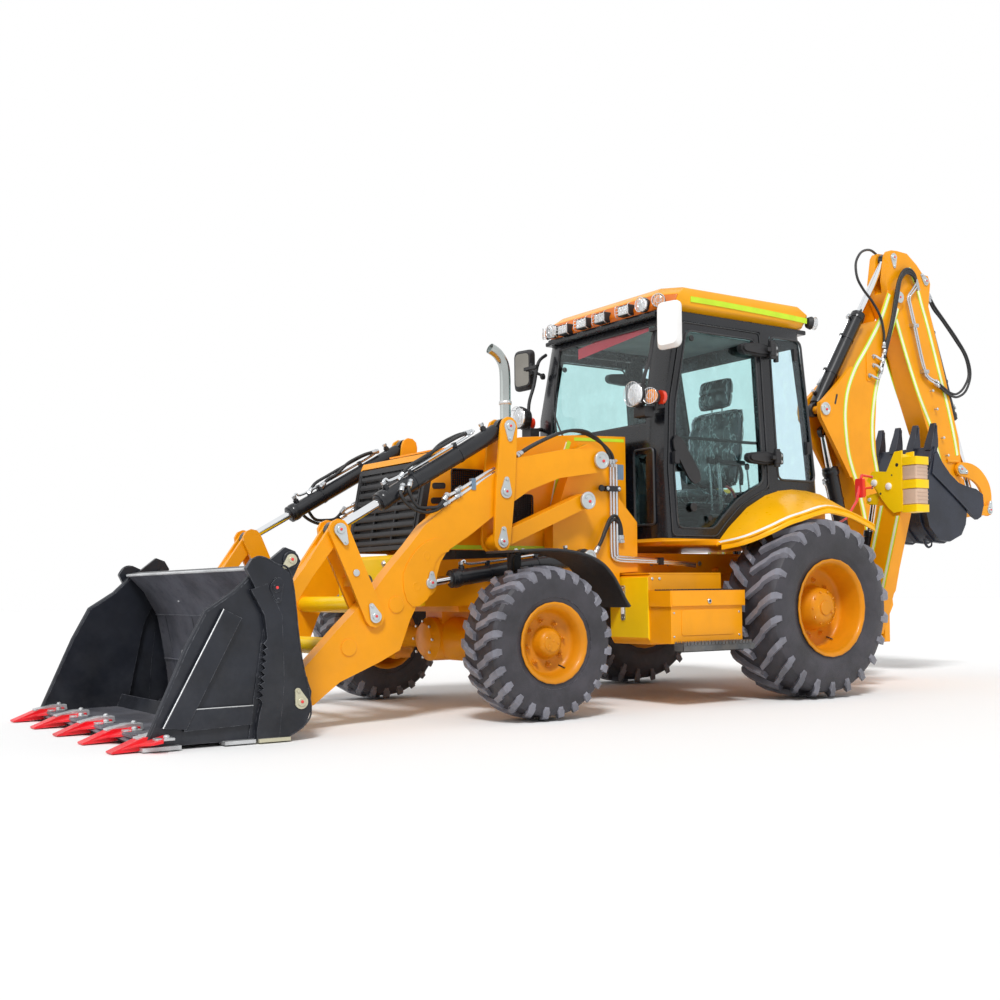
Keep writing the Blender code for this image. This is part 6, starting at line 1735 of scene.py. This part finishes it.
emit(bm, "digger_teeth", "digger_bucket", [diggerSteel, castSilver], 0.003)

# swing post: kingpins and their bolts
bm = bmesh.new()
for z in (0.445, 0.995):
    lathe(bm, [(z - 0.012, 0.07), (z + 0.002, 0.074), (z + 0.012, 0.066)], (0, 1.38, 0), "Z", 0, 20)
    hexBolt(bm, (0, 1.38, z + 0.012), (0, 0, 1), 0.022, 1)
for x in (-0.05, 0.05):
    hexBolt(bm, (x, 1.36, 0.868), (0, -1, 0), 0.012, 1)
emit(bm, "swing_pins", "swing_post", [amberPaint, zincSteel], 0.002)
print("digger dressed")

# stabilisers: clamp bands, pads, bolts, stripes, cylinder and lamp bracket
for label, side in bothSides():
    bm = bmesh.new()
    # clamp bands and head plates in the painted sunlit copy of the amber
    for z0, z1 in ((1.632, 1.69), (1.462, 1.524), (1.29, 1.344)):
        sideBox(bm, side, (1.05, 1.19), (0.918, 1.062), (z0, z1), 0.01, 0, "Z")
    for z0, z1 in ((1.35, 1.456), (1.53, 1.626)):
        sideBox(bm, side, (1.056, 1.186), (0.922, 1.058), (z0, z1), 0.016, 1, "Z")
        for k in range(3):
            z = z0 + 0.028 + 0.026 * k
            sideBox(bm, side, (1.186, 1.189), (0.93, 1.05), (z, z + 0.006), 0, 1)
    headPlate = [(side * x, z) for x, z in (
        (0.745, 1.545), (0.8, 1.612), (0.925, 1.598), (1.0, 1.738), (1.062, 1.742), (1.062, 1.3),
        (0.985, 1.292), (0.94, 1.33), (0.88, 1.4), (0.838, 1.47))]
    for near, far in ((0.916, 0.931), (1.049, 1.064)):
        plate(bm, headPlate, near, far, 0, "Y")
    for x, z in ((0.816, 1.523), (0.946, 1.489)):
        for y, out in ((0.917, -1), (1.063, 1)):
            button(bm, (side * x, y, z), (0, out, 0), 0.026, 0.012, 2, 20, 0.004)
    for x, z, r in ((0.973, 1.569, 0.007), (1.02, 1.64, 0.014), (0.87, 1.44, 0.009)):
        button(bm, (side * x, 0.9165, z), (0, -1, 0), r, 0.001, 3, 14)
    for line in (((0.868, 1.352), (0.772, 1.0), (0.668, 0.58)), ((1.01, 1.27), (0.925, 0.96), (0.842, 0.66))):
        for width, tall, mat in ((0.034, 0.0018, 5), (0.018, 0.003, 4)):
            left = [(side * (x - width / 2), z) for x, z in line]
            right = [(side * (x + width / 2), z) for x, z in line]
            plate(bm, left + right[::-1], 0.93 - tall, 0.932, mat, "Y")
    for y, out in ((0.928, -1), (1.052, 1)):
        button(bm, (side * 0.695, y, 0.45), (0, out, 0), 0.046, 0.014, 2, 22, 0.003)
    # foot cylinder alongside the leg, in lugs at both ends
    low, high = Vector((side * 0.6, 0.99, 0.64)), Vector((side * 0.752, 0.99, 1.405))
    line = (high - low).normalized()
    lathe(bm, [(0.0, 0.036), (0.5, 0.036), (0.505, 0.042), (0.545, 0.042), (0.55, 0.032)],
          low, "X", 6, 20, lineTurn(line))
    tube(bm, [low + line * 0.54, high], 0.021, 7, 12, 0)
    for at in (low, high):
        lathe(bm, [(-0.032, 0.04), (0.032, 0.04)], at, "Y", 6, 18)
        inner, outer = at.x - side * 0.03, at.x + side * 0.1
        lug = [(inner, at.z - 0.03), (inner, at.z + 0.03), (outer, at.z + 0.05), (outer, at.z - 0.05)]
        for y in (0.94, 1.026):
            plate(bm, lug, y, y + 0.014, 0, "Y")
        tube(bm, [(at.x, 0.934, at.z), (at.x, 1.046, at.z)], 0.014, 2, 12, 0)
    emit(bm, f"stabiliser_fittings_{label}", f"stabiliser_{label}",
         [paintedSunlitAmber, padRubber, whitePaint, trimBlack, paleTape, limeTape, blackPaint, rodChrome], 0.002)

    # red rear lamp bracket standing on the fender's tail
    bm = bmesh.new()
    x = side * 0.85
    tube(bm, [(x, 0.734, 1.571), (x, 0.676, 1.381)], 0.011, 0, 8, 0)
    for a, b in (((0.734, 1.571), (0.85, 1.562)), ((0.7, 1.466), (0.836, 1.484)),
                 ((0.676, 1.381), (0.56, 1.25)), ((0.56, 1.25), (0.47, 1.214))):
        tube(bm, [(x, *a), (x, *b)], 0.009, 0, 8, 0)
    roundedBox(bm, (x - 0.035, 0.7, 1.405), (x + 0.035, 0.728, 1.545), 0.01, 0, "Y")
    roundedBox(bm, (x - 0.03, 0.728, 1.415), (x + 0.03, 0.744, 1.475), 0.008, 1, "Y")
    roundedBox(bm, (x - 0.03, 0.728, 1.48), (x + 0.03, 0.744, 1.535), 0.008, 2, "Y")
    for z in (1.484, 1.562):
        hexBolt(bm, (x, 0.846, z), (0, 1, 0), 0.008, 3)
    emit(bm, f"tail_lamp_{label}", "machine", [lockRed, redLens, amberLens, zincSteel], 0.001)
print("stabilisers dressed")

# hoses and steel pipes: each route row is x, y, z, then how far a shift of one moves x, y and z
hoseSettings = {
    "radius": 0.0105, "boomRadius": 0.0115, "fitting": 0.05, "armShifts": (0.0, 0.026),
    "boomShifts": (0.0, 0.024, 0.048), "loopShifts": (0.0, 0.027)}
hoseRoutes = {
    # over the arm pivot, from the arm's crest to the tower pipes
    "arm": (("arms", "machine"), [
        (0.6, -2.16, 1.59, -1, 0, 0), (0.6, -2.075, 1.64, -1, 0, 0), (0.592, -1.965, 1.692, -1, 0, 0),
        (0.58, -1.83, 1.745, -1, 0, 0), (0.57, -1.7, 1.775, -1, 0, 0), (0.562, -1.58, 1.768, -0.6, 0, -0.4),
        (0.558, -1.475, 1.712, 0, 0.3, -0.3), (0.556, -1.412, 1.64, 0, 1, 0),
                                  (0.556, -1.398, 1.575, 0, 1, 0)]),
    # from the lift cylinder's base up and over to the lower pipes
    "lift": (("lift_barrels", "machine"), [
        (0.6, -1.56, 1.005, -1, 1, 0), (0.598, -1.515, 1.07, -1, 1, 0), (0.592, -1.475, 1.145, -0.8, 1, 0),
        (0.58, -1.425, 1.215, 0, 0.5, -0.5), (0.568, -1.362, 1.232, 0, 0, -1),
                                           (0.56, -1.316, 1.165, 0, -0.5, 0),
        (0.556, -1.306, 1.08, 0, -0.6, 0)]),
    # from the tilt cylinder's front port round under the tube to the lever
    "tilt": (("tilt_barrels", "rear_levers"), [
        (0.654, -3.02, 1.352, 0, 2, 1), (0.674, -3.04, 1.305, 0, 2, 1), (0.672, -2.985, 1.245, 0, 2, 0),
        (0.67, -2.895, 1.212, 0, 2, 1), (0.664, -2.805, 1.225, 0, 1, 1), (0.655, -2.725, 1.268, 0, 0, 1.6)]),
    # short loops along the top of the tilt tube
    "tilt_top": (("tilt_barrels",), [
        (0.6, -3.0, 1.415, -1, 3, 1.6), (0.612, -2.955, 1.475, -1, 3, 1), (0.612, -2.86, 1.532, -1, 2, 0.4),
        (0.608, -2.72, 1.612, -1, 0, 0.4), (0.604, -2.6, 1.676, -1, 0, 0.3), (0.6, -2.52, 1.705, -1, 0, 0)]),
}
towerPipe = [(0.556, -1.398, 1.575, 0, 1, 0), (0.556, -1.398, 1.3, 0, 1, 0), (0.556, -1.398, 1.01, 0, 1, 0),
             (0.556, -1.376, 0.955, 0, 0.7, 0.4), (0.556, -1.31, 0.935, 0, 0, 0.6),
             (0.552, -1.1, 0.93, 0, 0, 0.5), (0.545, -0.85, 0.92, 0, 0, 0.4), (0.52, -0.62, 0.905, 0, 0, 0.4)]
leverPipe = [(0.655, -2.725, 1.268, 0, 0, 1), (0.65, -2.62, 1.325, 0, 0, 0.8),
             (0.64, -2.47, 1.412, 0, 0, 0.7), (0.625, -2.36, 1.47, 0, 0, 0.6)]
boomBundle = [(0.146, 1.898, 2.702, 0, -0.9, -3.3), (0.15, 1.925, 2.79, 0, -0.3, -2),
              (0.152, 1.965, 2.89, 0, 0.4, 0), (0.15, 2.018, 3.05, 0, 0.5, 0), (0.15, 2.055, 3.2, 0, 0.6, 0),
              (0.148, 2.1, 3.335, 0, 0.5, 0), (0.144, 2.175, 3.432, 0, 0.3, -0.6),
              (0.139, 2.262, 3.455, 0, 0, -0.8), (0.136, 2.33, 3.42, 0, 0, -0.7),
              (0.134, 2.358, 3.352, 0, 0.3, -0.9)]
highLoop = [(0.15, 1.892, 2.76), (0.148, 1.899, 2.86), (0.138, 1.872, 3.0), (0.118, 1.795, 3.125),
            (0.1, 1.71, 3.215), (0.085, 1.652, 3.31), (0.062, 1.662, 3.43), (0.03, 1.742, 3.525),
            (-0.015, 1.862, 3.592), (-0.07, 2.02, 3.63), (-0.118, 2.17, 3.612), (-0.134, 2.275, 3.55),
            (-0.128, 2.33, 3.46), (-0.118, 2.35, 3.37)]
rearLoop = [(0.134, 2.613, 2.498, 0, 0, 1), (0.13, 2.7, 2.462, 0, 0, 0.9), (0.12, 2.82, 2.425, 0, 0, 0.8),
            (0.11, 2.934, 2.422, 0, -0.3, 1), (0.1, 3.068, 2.49, 0, -1, 1), (0.092, 3.15, 2.64, 0, -1, 0),
            (0.085, 3.112, 2.8, 0, -1, 0), (0.078, 2.98, 2.95, 0, -1, -0.4),
            (0.07, 2.805, 3.105, 0, -1, -0.3), (0.06, 2.7, 3.205, 0, -0.6, -1),
            (0.052, 2.64, 3.29, 0, -0.4, -1)]


def hose(name, points, bodies, radius=hoseSettings["radius"]):
    # a black hose with crimped silver ends; with two bodies it rides on neither and stays where it is laid
    path = curvePoints(points, 8)
    bm = bmesh.new()
    tube(bm, path, radius, 0, 12, 0)
    fittings = bmesh.new()
    long = hoseSettings["fitting"]
    for at, direction in ((path[0], path[0] - path[1]), (path[-1], path[-1] - path[-2])):
        pipeEnd(fittings, at - direction.normalized() * long * 0.6, direction, radius, 0, long)
    for label, mesh, finish in ((name, bm, hoseRubber), (name + "_ends", fittings, zincSteel)):
        if len(bodies) == 1:
            piece = emit(mesh, label, bodies[0], finish)
        else:
            piece = makePiece(mesh, label, finish)
            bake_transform(piece)


for label, side in bothSides():
    for k, shift in enumerate(hoseSettings["armShifts"]):
        for name, (bodies, rows) in hoseRoutes.items():
            hose(f"{name}_hose_{label}_{k}", route(rows, shift, side), bodies)

    bm = bmesh.new()
    for shift in (0.0, 0.026, 0.052):
        tube(bm, route(towerPipe, shift, side), 0.0085, 0, 8, 5)
    tube(bm, [(side * 0.556, -1.372, 1.585), (side * 0.556, -1.346, 1.6)], 0.01, 1, 8, 0)
    sideBox(bm, side, (0.54, 0.572), (-1.445, -1.325), (1.395, 1.43), 0.008, 2)
    for y in (-1.432, -1.338):
        hexBolt(bm, (side * 0.572, y, 1.4125), (side, 0, 0), 0.008, 1)
    button(bm, (side * 0.572, -1.49, 1.412), (side, 0, 0), 0.022, 0.012, 2, 16)
    sideBox(bm, side, (0.545, 0.56), (-1.49, -1.44), (1.405, 1.42), 0, 2)
    sideBox(bm, side, (0.52, 0.572), (-0.99, -0.955), (0.915, 0.965), 0.006, 2)
    sideBox(bm, side, (0.542, 0.548), (-1.348, -1.278), (1.475, 1.575), 0.008, 3)
    emit(bm, f"tower_pipes_{label}", "machine", [pipeSteel, zincSteel, trimBlack, blueFitting], 0.001)

    bm = bmesh.new()
    for shift in (0.0, 0.04):
        tube(bm, route(leverPipe, shift, side), 0.0095, 0, 8, 5)
        pipeEnd(bm, (side * 0.652, -2.66, 1.304 + shift * 0.9), (0, 0.86, 0.5), 0.0105, 1, 0.05)
    sideBox(bm, side, (0.626, 0.656), (-2.545, -2.515), (1.355, 1.425), 0.006, 2)
    emit(bm, f"lever_pipes_{label}", "rear_levers", [pipeSteel, zincSteel, blueFitting], 0.001)

# digger hoses: bundle over the joint, high loop, and the loop behind the dipper
for k, shift in enumerate(hoseSettings["boomShifts"]):
    hose(f"boom_hose_{k}", route(boomBundle, shift), ("boom", "dipper"), hoseSettings["boomRadius"])
hose("dipper_loop_hose", highLoop, ("boom", "dipper"))
for k, shift in enumerate(hoseSettings["loopShifts"]):
    hose(f"rear_loop_hose_{k}", route(rearLoop, shift), ("dipper", "bucket_barrel"))
print("hoses and pipes laid")
